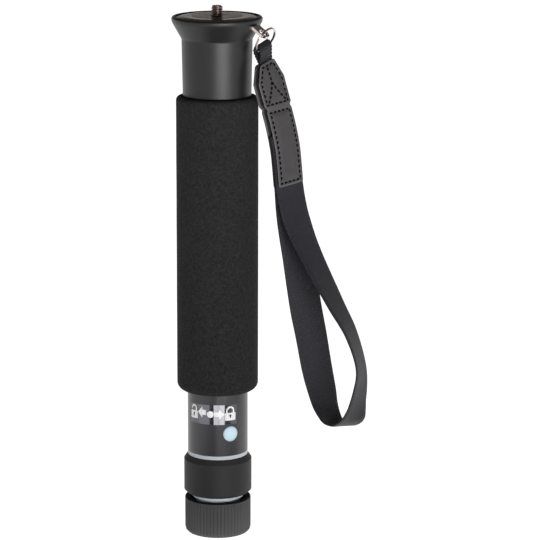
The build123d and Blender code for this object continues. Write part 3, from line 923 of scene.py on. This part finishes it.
class MONOPOD_OT_finishes(bpy.types.Operator):
    """Give the pieces whose CAD shape stays their materials"""
    bl_idname = "monopod.finishes"
    bl_label = "Finish the metal and plastic"

    def execute(self, context):
        finishes = context.scene.monopod_finishes
        plastic = surface("moulded_inner", finishes.inner, 0.4, 0.55, grain=2200.0, depth=0.02)
        acetal = surface("acetal", finishes.acetal, 0.35, 0.5, drift=0.06, grain=2600.0, depth=0.01)
        steel = surface("zinc_steel", finishes.steel, 0.25, 0.45, Metallic=1.0, grain=3400.0, depth=0.01)
        pale = surface("pale_ring", finishes.ring, 0.35, 0.5, drift=0.06, grain=2000.0, depth=0.01)
        sleeve = surface("moulded_sleeve", finishes.sleeve, 0.50, 0.66, drift=0.2, grain=2400.0, depth=0.05,
                         pits=0.9, Specular_IOR_Level=0.25)
        # Painted shade: the foot's upward faces are painted black, standing for the shade in the groove under
        # the sleeve.
        foot = surface("foot_rubber", finishes.foot, 0.58, 0.72, drift=0.25, grain=2200.0, depth=0.04,
                       pits=0.6, painted_shade_top=finishes.black, Specular_IOR_Level=0.12)
        given = {
            "strap_lug": chrome_material(finishes),
            "stud_nut": steel, "foot_washer": steel, "foot_screw": steel,
            "grip_sleeve": sleeve, "rubber_foot": foot, "foot_core": plastic,
            "lock_label": label_material(context.scene.monopod_print),
            "marker_dot": marker_material(finishes),
        }
        tube = tube_material(finishes)
        families = {"tube_": tube, "end_ring_": pale, "lock_cone_": plastic, "lock_collet_": acetal}
        for name in NODES:
            for family, material in families.items():
                if name.startswith(family):
                    given[name] = material
        for name, material in given.items():
            materials = NODES[name].data.materials
            materials.clear()
            materials.append(material)
        return {"FINISHED"}


class MONOPOD_OT_head(bpy.types.Operator):
    """Turn the head and the camera platform, with their edges rounded"""
    bl_idname = "monopod.head"
    bl_label = "Head and platform"

    def execute(self, context):
        finishes = context.scene.monopod_finishes
        paint = surface("satin_paint", finishes.head_paint, 0.38, 0.46, drift=0.15, grain=4200.0, depth=0.012,
                        Specular_IOR_Level=0.40)
        level = HEAD_TOP - RIM_TOP_ROUND
        socket_top = HEAD_LOW + SOCKET_DEPTH
        low = [
            (STUD_BORE, PAD_LOW), (STUD_BORE, socket_top),
            (SOCKET_RADIUS, socket_top), (SOCKET_RADIUS, HEAD_LOW),
            (BARREL_LOW_RADIUS, HEAD_LOW), (BARREL_HIGH_RADIUS, level - FLARE_DROP),
        ]
        rim = arc_about(RIM_LOW_CENTRE, level, RIM_LOW_ROUND, -FLARE_ANGLE, 0, RIM_STEPS)
        rim += arc_about(RIM_TOP_CENTRE, level, RIM_TOP_ROUND, 0, 90, RIM_STEPS)[1:]
        recess = [(RECESS_RADIUS, HEAD_TOP), (RECESS_RADIUS, PAD_LOW)]
        outline = outline_with_rounds(low + rim + recess, {4: MOUTH_ROUND, 5: FLARE_BLEND})
        head = turn_on_lathe("head_body", outline, 160)
        hand_over(head, "root", paint, 35, ("head_casting",))

        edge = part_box("platform_pad")[1].x
        points = [
            (PAD_HOLE, PAD_LOW), (edge, PAD_LOW), (edge, PAD_TOP - PAD_SLOPE_DROP), (PAD_SLOPE_FROM, PAD_TOP),
            (PAD_HOLE, PAD_TOP),
        ]
        rounds = {2: PAD_EDGE_ROUND, 3: PAD_SLOPE_ROUND, 4: PAD_HOLE_ROUND}
        pad = turn_on_lathe("platform_cushion", outline_with_rounds(points, rounds), 160)
        rim_face = platform_material("platform_rim_rubber", finishes.platform_rim, finishes.black, 0.26)
        hand_over(pad, "root", rim_face, 35, ("platform_pad",))

        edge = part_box("platform_disc")[1].x
        low, top = (corner.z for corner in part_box("platform_disc"))
        points = [(DISC_HOLE, low), (edge, low), (edge, top), (DISC_HOLE, top)]
        rounds = {2: DISC_EDGE_ROUND, 3: DISC_HOLE_ROUND}
        disc = turn_on_lathe("platform_centre", outline_with_rounds(points, rounds), 128)
        face = platform_material("platform_rubber", finishes.platform_top, finishes.black, 0.34)
        hand_over(disc, "root", face, 35, ("platform_disc",))
        return {"FINISHED"}


class MONOPOD_OT_stud(bpy.types.Operator):
    """Cut the camera stud's thread: a crest wound up a core and trimmed at the tip"""
    bl_idname = "monopod.stud"
    bl_label = "Camera stud"

    def execute(self, context):
        values = context.scene.monopod_stud
        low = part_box("camera_stud")[0].z
        root = values.radius - values.depth
        pinhole = 0.05 * MM
        chamfer_out, chamfer_down = 0.3 * MM, 0.35 * MM
        core = turn_on_lathe("stud_core", [
            (pinhole, low), (root, low), (root, STUD_TIP - chamfer_down), (root - chamfer_out, STUD_TIP),
            (pinhole, STUD_TIP)], 48)

        crest = add(bpy.ops.mesh.primitive_plane_add, "stud_crest", size=1, location=(0, 0, 0))
        edit(crest, "SELECT", "FACE")
        bpy.ops.mesh.delete(type="ONLY_FACE")
        leave()
        sink, half_foot, half_land = 0.05 * MM, values.pitch * 0.47, 0.14 * MM
        first_turn = low + 0.8 * MM
        for vertex in crest.data.vertices:
            outside, side = vertex.co.x > 0, 1 if vertex.co.y > 0 else -1
            radius, half = (values.radius, half_land) if outside else (root - sink, half_foot)
            vertex.co = Vector((radius, 0, first_turn + side * half))
        turns = math.ceil((STUD_TIP - first_turn) / values.pitch) + 1
        modify(crest, "SCREW", angle=math.tau, screw_offset=values.pitch, iterations=turns, steps=40,
               render_steps=40, axis="Z", use_merge_vertices=True)
        edit(crest, "SELECT", "EDGE")
        trim = 0.12 * MM
        bpy.ops.mesh.bisect(
            plane_co=(0, 0, STUD_TIP - trim), plane_no=(0, 0, 1), clear_outer=True, use_fill=False)
        bpy.ops.mesh.select_all(action="SELECT")
        bpy.ops.mesh.fill_holes(sides=0)
        for drop, share in ((0.75 * MM, 0.97), (0.5 * MM, 0.94), (0.28 * MM, 0.92)):
            pick(crest, lambda vertex, least=STUD_TIP - drop: vertex.co.z > least)
            bpy.ops.transform.resize(value=(share, share, 1), center_override=(0, 0, STUD_TIP))
        leave()
        outward(crest)
        stud = join("stud_thread", [core, crest])
        dark = surface("blackened_steel", context.scene.monopod_finishes.stud, 0.22, 0.38, drift=0.4,
                       drift_scale=300.0, Metallic=0.9, grain=2600.0, depth=0.01)
        hand_over(stud, "root", dark, 35, ("camera_stud",))
        return {"FINISHED"}


def skin_wave(turn, height):
    """Unevenness of the foam's skin: three and five lobes that twist along the grip."""
    three = math.sin(3 * turn + height * 70) * math.sin(height * 95 + 1.3)
    five = math.sin(5 * turn - height * 160)
    return three + 0.6 * five


class MONOPOD_OT_grip(bpy.types.Operator):
    """Shape the foam grip as a soft sleeve with rounded ends and a slightly uneven skin"""
    bl_idname = "monopod.grip"
    bl_label = "Foam grip"

    def execute(self, context):
        values = context.scene.monopod_grip
        finishes = context.scene.monopod_finishes
        bore = TUBE_RADIUS + 0.12 * MM
        rows = 60
        groove = [(19.3 * MM, FOAM_TOP), (18.8 * MM, FOAM_TOP - 0.8 * MM), (18.3 * MM, FOAM_TOP)]
        points = [(bore, FOAM_TOP), (bore, FOAM_LOW), (FOAM_RADIUS, FOAM_LOW), (FOAM_RADIUS, FOAM_TOP)]
        rounds = outline_with_rounds(points + groove, {2: values.low_round, 3: values.top_round})
        outline = []
        for one, two in zip(rounds, rounds[1:]):
            outline.append(one)
            if one[0] == two[0] and one[0] > bore:
                outline += [(one[0], one[1] + (two[1] - one[1]) * step / rows) for step in range(1, rows)]
        outline.append(rounds[-1])
        grip = turn_on_lathe("foam_sleeve", outline, 144)
        skin, wave_height, inset = 1 * MM, 0.045 * MM, 0.05 * MM
        for vertex in grip.data.vertices:
            x, y, z = vertex.co
            reach = math.hypot(x, y)
            if reach > bore + skin:
                share = 1 + wave_height * skin_wave(math.atan2(y, x), z) / reach - inset / reach
                vertex.co.x, vertex.co.y = x * share, y * share
        foam = surface("closed_cell_foam", finishes.foam, 0.82, 0.95, drift=1.1, drift_scale=800.0,
                       grain=1.0 / values.cell_size, depth=0.16, pits=1.3, Specular_IOR_Level=0.15)
        hand_over(grip, "root", foam, 60, ("foam_grip",))
        return {"FINISHED"}


class MONOPOD_OT_ring(bpy.types.Operator):
    """Wind the split ring: a flat wire wound twice"""
    bl_idname = "monopod.ring"
    bl_label = "Split ring"

    def execute(self, context):
        wide, high, rise, corner = 0.9 * MM, 0.62 * MM, 0.64 * MM, 0.2 * MM
        ring = add(bpy.ops.mesh.primitive_plane_add, "split_ring_coils", size=1,
                   location=(RING_RADIUS, 0, -rise), rotation=(math.pi / 2, 0, 0))
        ring.scale = (wide, high, 1)
        settle(ring)
        edit(ring, "SELECT", "VERT")
        bpy.ops.mesh.bevel(affect="VERTICES", offset=corner, segments=3)
        bpy.ops.mesh.select_mode(type="FACE")
        bpy.ops.mesh.select_all(action="SELECT")
        bpy.ops.mesh.delete(type="ONLY_FACE")
        leave()
        modify(ring, "SCREW", angle=math.tau, screw_offset=rise, iterations=2, steps=96, render_steps=96,
               axis="Z", use_merge_vertices=False)
        edit(ring, "SELECT", "EDGE")
        bpy.ops.mesh.remove_doubles(threshold=NEAR)
        bpy.ops.mesh.select_all(action="SELECT")
        bpy.ops.mesh.fill_holes(sides=0)
        leave()
        outward(ring)
        wire_ends = math.radians(200)
        ring.data.transform(Matrix.Rotation(wire_ends, 4, "Z"))
        place = Matrix((RING_LONG, RING_SHORT, RING_LONG.cross(RING_SHORT))).transposed().to_4x4()
        place.translation = RING_CENTRE
        ring.data.transform(place)
        finishes = context.scene.monopod_finishes
        hand_over(ring, "ring", chrome_material(finishes), 30, ("split_ring",))
        return {"FINISHED"}


class MONOPOD_OT_hanger(bpy.types.Operator):
    """Fold the narrow ribbed webbing over the split ring"""
    bl_idname = "monopod.hanger"
    bl_label = "Hanger"

    def execute(self, context):
        values = context.scene.monopod_strap
        finishes = context.scene.monopod_finishes
        rows = [(-out, down, 0) for out, down in HANGER_LEG]
        rows += [(-out, -down, 0) for out, down in arc_about(0, 0, HANGER_REACH, 0, 180, 6)]
        rows += [(out, down, 0) for out, down in reversed(HANGER_LEG)]
        steps, total = smooth_route(rows, HANGER_STEPS)
        places = [strap_place(HANGER_ASIDE, step.x, step.y) for step in steps]
        runs = headings(places)
        widths = [STRAP_ACROSS.copy() for _ in runs]
        fronts = [width.cross(run).normalized() for run, width in zip(runs, widths)]
        hanger = strip("hanger_webbing", values.hanger_width, total * MM, 8, HANGER_STEPS)
        modify(hanger, "SOLIDIFY", thickness=HANGER_THICKNESS * MM, offset=0)
        for vertex in hanger.data.vertices:
            rib = abs(math.sin(math.pi * vertex.co.y * total / HANGER_RIB_PITCH))
            side = 1 if vertex.co.z > 0 else -1
            vertex.co.z += side * HANGER_RIB_HEIGHT * MM * (rib - 0.5)
            vertex.co.x *= HANGER_VALLEY_SHARE + HANGER_RIB_SHARE * rib
        along_strip(hanger, places, fronts, widths)
        for vertex in hanger.data.vertices:
            spot = vertex.co - STRAP_TOP
            fade = clamped((HANGER_FADE_END * MM - spot.dot(STRAP_DOWN)) / (HANGER_FADE_RUN * MM))
            vertex.co -= STRAP_DOWN * (spot.dot(STRAP_ACROSS) * HANGER_SLANT + HANGER_LIFT * MM) * fade
        outward(hanger)
        ribbed = webbing_material(finishes, "hanger_webbing", rib_height=0.3, thread=0.42)
        hand_over(hanger, "strap", ribbed, 50, ("strap_hanger",))
        return {"FINISHED"}


def tab_half_width(down):
    """Half the leather panel's width at a way down from its top, in millimetres."""
    share = down / TAB_LENGTH
    stops = [(0.0, TAB_TOP_WIDTH), (TAB_SHOULDER, TAB_HIGH_WIDTH), (TAB_NECK[0], TAB_HIGH_WIDTH),
             (TAB_NECK[1], TAB_NECK_WIDTH), (TAB_NECK[2], TAB_WIDTH), (1.0, TAB_WIDTH)]
    half = TAB_WIDTH / 2
    for (a, wide_a), (b, wide_b) in zip(stops, stops[1:]):
        if a <= share <= b:
            half = (wide_a + (wide_b - wide_a) * (share - a) / (b - a)) / 2
    to_end = min(down, TAB_LENGTH - down)
    if to_end < TAB_CORNER:
        half -= TAB_CORNER - math.sqrt(max(TAB_CORNER ** 2 - (TAB_CORNER - to_end) ** 2, 0))
    return half


def tab_edge(across, down):
    """Distance to the nearest outer edge of the panel, and to the nearest edge or fold of its seam."""
    outer = min(tab_half_width(down) - abs(across), down, TAB_LENGTH - down)
    fold_high, fold_low = TAB_FOLD - TAB_FOLD_HALF, TAB_FOLD + TAB_FOLD_HALF
    if fold_high < down < fold_low:
        return outer, min(outer, FOLD_RIM)
    return outer, min(outer, abs(down - fold_high) + FOLD_RIM, abs(down - fold_low) + FOLD_RIM)


def tab_puff(across, down):
    """Height of the padded leather over its flat face, in millimetres: fields, seam channel and rim."""
    outer, edge = tab_edge(across, down)
    field = PUFF_HEIGHT * clamped((edge - PUFF_FROM) / PUFF_RUN)
    channel = CHANNEL_DEPTH * math.exp(-((edge - CHANNEL_INSET) / CHANNEL_WIDTH) ** 2)
    return field - channel - RIM_FALL * math.exp(-max(outer, 0.0) / RIM_WIDTH)


def tab_outline(inset, first, last, steps=40):
    """Seam line inside the panel's edge, as (across, down) points round one stitched field."""
    downs = [first + (last - first) * step / steps for step in range(steps + 1)]
    side_inset = inset * 1.06
    right = [(tab_half_width(down) - side_inset, down) for down in downs]
    return right + [(-across, down) for across, down in reversed(right)] + right[:1]


def even_steps(points, pitch):
    """Places and headings at an even pitch along a line of (across, down) points."""
    line = [Vector(point) for point in points]
    total = sum((two - one).length for one, two in zip(line, line[1:]))
    count = max(1, round(total / pitch))
    spots, want, gone, number = [], total / count / 2, 0.0, 0
    for one, two in zip(line, line[1:]):
        run = (two - one).length
        while number < count and want <= gone + run + 1e-9:
            spots.append((one.lerp(two, (want - gone) / run), (two - one).normalized()))
            want += total / count
            number += 1
        gone += run
    return spots


class MONOPOD_OT_tab(bpy.types.Operator):
    """Shape the two leather panels and sew them round their edges"""
    bl_idname = "monopod.tab"
    bl_label = "Leather tab"

    def panel(self, name, side, leather):
        made = add(bpy.ops.mesh.primitive_grid_add, name, x_subdivisions=28, y_subdivisions=150, size=1)
        settle(made)
        rim = made.data.attributes.new("rim_mm", "FLOAT", "POINT")
        crowding, skin = 0.06, 0.05
        for vertex in made.data.vertices:
            share = 0.5 - vertex.co.y
            down = TAB_LENGTH * (share - math.sin(math.tau * share) * crowding)
            across = math.sin(vertex.co.x * math.pi) * tab_half_width(down)
            rim.data[vertex.index].value = max(tab_edge(across, down)[1], 0.0)
            vertex.co = Vector((across, -TAB_TOP - down, side * tab_puff(across, down))) * MM
        if side < 0:
            edit(made, "SELECT")
            bpy.ops.mesh.flip_normals()
            leave()
        modify(made, "SOLIDIFY", thickness=(TAB_THICKNESS - 2 * skin) * MM, offset=-1)
        for vertex in made.data.vertices:
            vertex.co.z += side * (TAB_FACE + TAB_THICKNESS - skin) * MM
        hang(made)
        outward(made)
        stands_for = "strap_tab_front" if side > 0 else "strap_tab_back"
        return hand_over(made, "strap", leather, 45, (stands_for,))

    def seams(self, inset):
        """Lines to sew along: round the upper and the lower field, and the fork in the upper one."""
        field_low, field_high, gap = TAB_FOLD - TAB_SEAM_HALF, TAB_FOLD + TAB_SEAM_HALF, 0.2
        lines = [
            tab_outline(inset, inset, field_low - gap),
            tab_outline(inset, field_high + gap, TAB_LENGTH - inset),
            [(SEAM_TOP[0], inset + SEAM_TOP[1]), SEAM_MIDDLE, SEAM_FORK],
        ]
        across, down = SEAM_FORK
        aside, fall = SEAM_SPREAD, field_low - 0.9 - down
        for side in (-1, 1):
            line = [SEAM_FORK]
            for share in (0.2, 0.4, 0.6, 0.8, 1.0):
                line.append((across + (side * aside - across) * share ** SEAM_CURVE, down + fall * share))
            lines.append(line)
        return lines

    def stitch(self, values, side):
        """One stitch, whose two ends dip into the leather."""
        half_wide, half_high, dip = 0.58 * MM, 0.32 * MM, 0.10 * MM
        model = add(bpy.ops.mesh.primitive_uv_sphere_add, "stitch", segments=8, ring_count=6, radius=1)
        model.scale = (values.stitch_length / 2, half_wide, half_high)
        settle(model)
        edit(model, "DESELECT")
        pick(model, lambda vertex: abs(vertex.co.x) > values.stitch_length * 0.4)
        bpy.ops.transform.translate(value=(0, 0, -side * dip))
        leave()
        return model

    def execute(self, context):
        values = context.scene.monopod_strap
        finishes = context.scene.monopod_finishes
        leather = leather_material(finishes)
        thread = surface("sewing_thread", finishes.thread, 0.8, 0.9, grain=5200.0, depth=0.03,
                         Specular_IOR_Level=0.1)
        lines = self.seams(values.stitch_inset / MM)
        proud = TAB_FACE + TAB_THICKNESS + 0.02
        for side, name in ((1, "front"), (-1, "back")):
            self.panel(f"tab_{name}_leather", side, leather)
            model = self.stitch(values, side)
            copies = []
            for line in lines:
                for spot, heading in even_steps(line, values.stitch_pitch / MM):
                    item = model.copy()
                    item.data = model.data.copy()
                    context.collection.objects.link(item)
                    face = proud + tab_puff(spot.x, spot.y)
                    item.location = (spot.x * MM, (-TAB_TOP - spot.y) * MM, side * face * MM)
                    item.rotation_euler = (0, 0, math.atan2(-heading.y, heading.x))
                    copies.append(item)
            bpy.data.objects.remove(model)
            stitches = join(f"tab_{name}_stitches", copies)
            hang(stitches)
            outward(stitches)
            hand_over(stitches, "strap", thread, 60)
        return {"FINISHED"}


class MONOPOD_OT_webbing(bpy.types.Operator):
    """Lay the strap's webbing round its hand loop"""
    bl_idname = "monopod.webbing"
    bl_label = "Webbing loop"

    def execute(self, context):
        values = context.scene.monopod_strap
        finishes = context.scene.monopod_finishes
        rows = [(across, out, down, math.radians(turn)) for across, out, down, turn in LOOP_ROWS]
        steps, total = smooth_route(rows, values.stations)
        places = [strap_place(step[0], step[1], step[2]) for step in steps]
        widths, fronts = [], []
        for step, run in zip(steps, headings(places)):
            lean = LOOP_LEAN * clamped((step[2] - LOOP_LEAN_FROM) / LOOP_LEAN_RUN)
            wide = STRAP_ACROSS * math.cos(step[3]) - STRAP_OUT * math.sin(step[3]) + STRAP_DOWN * lean
            wide = (wide - run * wide.dot(run)).normalized()
            widths.append(wide)
            fronts.append(wide.cross(run).normalized())
        band = strip("webbing_loop", values.webbing_width, total * MM, 14, values.stations)
        modify(band, "SOLIDIFY", thickness=values.webbing_thickness, offset=0)
        for vertex in band.data.vertices:
            inwards = (values.webbing_width / 2 - abs(vertex.co.x)) / MM
            thin = 1 - EDGE_THIN * math.exp(-inwards / EDGE_WIDTH)
            roll = 1 + ROLL_HEIGHT * math.exp(-((inwards - ROLL_INSET) / ROLL_WIDTH) ** 2)
            vertex.co.z *= thin * roll
        along_strip(band, places, fronts, widths)
        outward(band)
        hand_over(band, "strap", webbing_material(finishes), 50, ("strap_webbing",))
        return {"FINISHED"}


class MONOPOD_OT_marks(bpy.types.Operator):
    """Print the lock marks on the film: padlocks, arrows and a dot"""
    bl_idname = "monopod.marks"
    bl_label = "Lock marks"

    def block(self, name, wide, high, centre, corner=0):
        made = add(
            bpy.ops.mesh.primitive_plane_add, name, size=1, location=(centre[0] * MM, centre[1] * MM, 0))
        made.scale = (wide * MM, high * MM, 1)
        settle(made)
        if corner:
            edit(made, "SELECT")
            bpy.ops.mesh.bevel(affect="VERTICES", offset=corner * MM, segments=4)
            leave()
        return made

    def disc(self, name, radius, centre, sides):
        return add(bpy.ops.mesh.primitive_circle_add, name, vertices=sides, fill_type="NGON",
                   radius=radius * MM, location=(centre[0] * MM, centre[1] * MM, 0))

    def hoop(self, name, centre, outer, thick, rise, open_by):
        """Shackle: a leg spun over into an arch, whose far leg stops short where it is open."""
        made = self.block(name, thick, rise, (centre[0] + outer - thick / 2, centre[1] - rise / 2))
        middle, top, low = centre[0] * MM, centre[1] * MM, (centre[1] - rise) * MM
        edit(made, "DESELECT", "EDGE")
        pick(made, lambda edge: all(abs(v.co.y - top) < MERGE for v in edge.verts), "edges")
        bpy.ops.mesh.spin(steps=18, angle=-math.pi, center=(middle, top, 0), axis=(0, 0, 1))
        pick(made, lambda edge: all(abs(v.co.y - top) < NEAR and v.co.x < middle for v in edge.verts),
             "edges")
        leg = (low - top) * (1 - open_by)
        bpy.ops.mesh.extrude_region_move(TRANSFORM_OT_translate={"value": (0, leg, 0)})
        leave()
        return made

    def arrow(self, name, centre, wide, high, way):
        """Block arrow: a stub whose front edge is drawn out, widened and run to a point."""
        stub_share, neck_share, step, point = 0.46, 0.46, 0.02, 0.04
        stub, neck = wide * stub_share, high * neck_share
        made = self.block(name, stub, neck, (centre[0] - way * (wide - stub) / 2, centre[1]))
        front = (centre[0] - way * (wide / 2 - stub)) * MM
        edit(made, "DESELECT", "EDGE")
        pick(made, lambda edge: all(abs(v.co.x - front) < MERGE for v in edge.verts), "edges")
        for reach, share in ((step, high / neck), (wide - stub - step, point)):
            bpy.ops.mesh.extrude_region_move(TRANSFORM_OT_translate={"value": (way * reach * MM, 0, 0)})
            bpy.ops.transform.resize(value=(1, share, 1), center_override=(0, centre[1] * MM, 0))
        leave()
        return made

    def wrap(self, item, radius, lift):
        """Cuts a flat mark into narrow upright strips and wraps it round the tube."""
        settle(item)
        low = min(v.co.x for v in item.data.vertices)
        high = max(v.co.x for v in item.data.vertices)
        widest_strip = 0.5 * MM
        cuts = int((high - low) / widest_strip)
        for number in range(1, cuts + 1):
            cut = low + (high - low) * number / (cuts + 1)
            edit(item, "SELECT")
            bpy.ops.mesh.bisect(plane_co=(cut, 0, 0), plane_no=(1, 0, 0))
            leave()
        edit(item, "SELECT")
        bpy.ops.mesh.normals_make_consistent(inside=False)
        leave()
        if item.data.polygons[0].normal.z < 0:
            edit(item, "SELECT")
            bpy.ops.mesh.flip_normals()
            leave()
        modify(item, "SOLIDIFY", thickness=lift, offset=-1)
        for vertex in item.data.vertices:
            turn = vertex.co.x / radius
            reach = radius + vertex.co.z
            vertex.co = Vector((reach * math.sin(turn), -reach * math.cos(turn), vertex.co.y))
        item.data.update()
        outward(item)

    def padlock(self, lock, middle, unit):
        """Body and shackle of one padlock."""
        centre, half, low = lock["turn"] * unit, lock["wide"] * unit / 2, middle - lock["drop"]
        outer, thick, overlap = half * 0.78, half * 0.30, 0.02
        arch = low + LOCK_BODY + lock["shackle"] - outer
        name = lock["name"]
        middle_of_body = (centre, low + LOCK_BODY / 2)
        body = self.block(f"{name}_lock_body", half * 2, LOCK_BODY, middle_of_body, LOCK_CORNER)
        leg = lock["shackle"] - outer + overlap
        hoop = self.hoop(f"{name}_lock_hoop", (centre, arch), outer, thick, leg, lock["open_by"])
        return [body, hoop]

    def execute(self, context):
        values = context.scene.monopod_marks
        inks = context.scene.monopod_print
        middle = values.middle / MM
        unit = LABEL_RADIUS / MM * math.radians(1)
        white = surface("white_print", inks.white, 0.35, 0.5, drift=0.04, grain=1600.0, depth=0.01)
        black = surface("black_print", inks.black, 0.35, 0.5, drift=0.04, grain=1600.0, depth=0.01)
        pieces = []
        for lock in PADLOCKS:
            pieces += self.padlock(lock, middle, unit)
        for arrow in ARROWS:
            pieces.append(self.arrow(f"{arrow['name']}_arrow", (arrow["turn"] * unit, middle + arrow["rise"]),
                                     arrow["wide"] * unit, arrow["high"], arrow["way"]))
        pieces.append(self.disc("centre_dot", DOT_RADIUS, (DOT_TURN * unit, middle - DOT_DROP), 40))
        for piece in pieces:
            self.wrap(piece, LABEL_RADIUS, values.lift)
        hand_over(join("lock_marks", pieces), "root", white, 30)
        holes = []
        for lock in PADLOCKS:
            centre, low = lock["turn"] * unit, middle - lock["drop"]
            holes.append(self.disc("keyhole_round", KEYHOLE_RADIUS, (centre, low + KEYHOLE_RISE), 24))
            holes.append(self.block("keyhole_slot", *KEYSLOT, (centre, low + KEYSLOT_RISE)))
        for piece in holes:
            self.wrap(piece, LABEL_RADIUS + values.lift, values.lift)
        hand_over(join("keyholes", holes), "root", black, 30)
        return {"FINISHED"}


class MONOPOD_OT_studio(bpy.types.Operator):
    """Set the floor, the soft lights and the camera at the photograph's angle"""
    bl_idname = "monopod.studio"
    bl_label = "Studio"

    def floor(self, values):
        """Pale floor that glows a little, as a light table does."""
        below = 0.0002
        floor = add(
            bpy.ops.mesh.primitive_plane_add, "studio_floor", size=values.floor_size, location=(0, 0, -below))
        settle(floor)
        material, tree, shader, place = blank(
            "floor_paint", Roughness=0.9, Specular_IOR_Level=0.1, Emission_Strength=values.table,
            Emission_Color=(1, 1, 1, 1))
        tint = toned(tree, place["Object"], values.floor_colour, 0.6, 0.01)
        tree.links.new(tint, shader.inputs["Base Color"])
        floor.data.materials.append(material)

    def flag(self):
        """Black cloth on the floor, out of the camera's sight, that keeps the floor's light off the front."""
        flag = add(bpy.ops.mesh.primitive_plane_add, "black_flag", size=1, location=FLAG_PLACE)
        flag.scale = (*FLAG_SIZE, 1)
        settle(flag)
        flag.visible_camera = False
        flag.data.materials.append(surface("flag_cloth", (0.01, 0.01, 0.01), 0.9, 0.95))

    def sky(self, scene, strength):
        """Light along the horizon, with a dark sky over it."""
        world = bpy.data.worlds.new("studio_sky")
        scene.world = world
        world.use_nodes = True
        tree = world.node_tree
        way = tree.nodes.new("ShaderNodeTexCoord")
        height = parts(tree, way.outputs["Generated"])["Z"]
        background = tree.nodes["Background"]
        tree.links.new(ramp_steps(tree, height, SKY_BANDS), background.inputs["Color"])
        background.inputs["Strength"].default_value = strength

    def softbox(self, scene, name, place, aim, size, power, seen=True):
        light = bpy.data.lights.new(name, "AREA")
        light.shape = "RECTANGLE"
        light.size, light.size_y = size
        light.energy = power
        item = bpy.data.objects.new(name, light)
        scene.collection.objects.link(item)
        item.location = place
        item.rotation_euler = (Vector(aim) - Vector(place)).to_track_quat("-Z", "Y").to_euler()
        if not seen:
            item.visible_camera = False

    def camera(self, scene):
        """The photograph's camera, from its focal length and principal point in pixels."""
        lens = bpy.data.cameras.new("photo_camera")
        camera = bpy.data.objects.new("photo_camera", lens)
        scene.collection.objects.link(camera)
        camera.location = CAMERA_PLACE
        pitch = Matrix.Rotation(math.radians(90 - CAMERA_PITCH), 3, "X")
        roll = Matrix.Rotation(math.radians(CAMERA_ROLL), 3, "Z")
        camera.rotation_euler = (pitch @ roll).to_euler()
        lens.sensor_width = SENSOR_WIDTH
        lens.lens = SENSOR_WIDTH * FOCAL_PIXELS / PICTURE_PIXELS
        lens.shift_x = (PICTURE_PIXELS / 2 - CENTRE_PIXELS[0]) / PICTURE_PIXELS
        lens.shift_y = (CENTRE_PIXELS[1] - PICTURE_PIXELS / 2) / PICTURE_PIXELS
        lens.clip_end = 60
        scene.camera = camera

    def execute(self, context):
        values = context.scene.monopod_studio
        scene = context.scene
        self.floor(values)
        self.flag()
        self.sky(scene, values.sky)
        self.softbox(scene, "front_softbox", *FRONT_LIGHT, values.key)
        self.softbox(scene, "floor_strip", *STRIP_LIGHT, values.low, seen=False)
        self.softbox(scene, "top_softbox", *TOP_LIGHT, values.top)
        self.camera(scene)
        scene.view_settings.view_transform = "Standard"
        return {"FINISHED"}


class MONOPOD_PT_panel(bpy.types.Panel):
    """Lists the monopod's pieces and the studio"""
    bl_idname = "MONOPOD_PT_panel"
    bl_label = "Monopod"
    bl_space_type = "VIEW_3D"
    bl_region_type = "UI"
    bl_category = "Monopod"

    def draw(self, context):
        for operator in OPERATORS:
            self.layout.operator(operator.bl_idname)


GROUPS_OF_SETTINGS = {
    "monopod_finishes": MONOPOD_PG_finishes, "monopod_print": MONOPOD_PG_print,
    "monopod_grip": MONOPOD_PG_grip, "monopod_stud": MONOPOD_PG_stud, "monopod_strap": MONOPOD_PG_strap,
    "monopod_marks": MONOPOD_PG_marks, "monopod_studio": MONOPOD_PG_studio,
}
OPERATORS = (
    MONOPOD_OT_studio, MONOPOD_OT_finishes, MONOPOD_OT_head, MONOPOD_OT_stud, MONOPOD_OT_grip,
    MONOPOD_OT_ring, MONOPOD_OT_hanger, MONOPOD_OT_tab, MONOPOD_OT_webbing, MONOPOD_OT_marks,
)


def register():
    for settings in GROUPS_OF_SETTINGS.values():
        bpy.utils.register_class(settings)
    for name, settings in GROUPS_OF_SETTINGS.items():
        setattr(bpy.types.Scene, name, PointerProperty(type=settings))
    for operator in OPERATORS:
        bpy.utils.register_class(operator)
    bpy.utils.register_class(MONOPOD_PT_panel)


def unregister():
    bpy.utils.unregister_class(MONOPOD_PT_panel)
    for operator in reversed(OPERATORS):
        bpy.utils.unregister_class(operator)
    for name, settings in GROUPS_OF_SETTINGS.items():
        delattr(bpy.types.Scene, name)
        bpy.utils.unregister_class(settings)


def main():
    register()
    bpy.ops.monopod.studio()
    bpy.ops.monopod.finishes()
    bpy.ops.monopod.head()
    bpy.ops.monopod.stud()
    bpy.ops.monopod.grip()
    bpy.ops.monopod.ring()
    bpy.ops.monopod.hanger()
    bpy.ops.monopod.tab()
    bpy.ops.monopod.webbing()
    bpy.ops.monopod.marks()


if __name__ == "__main__":
    main()
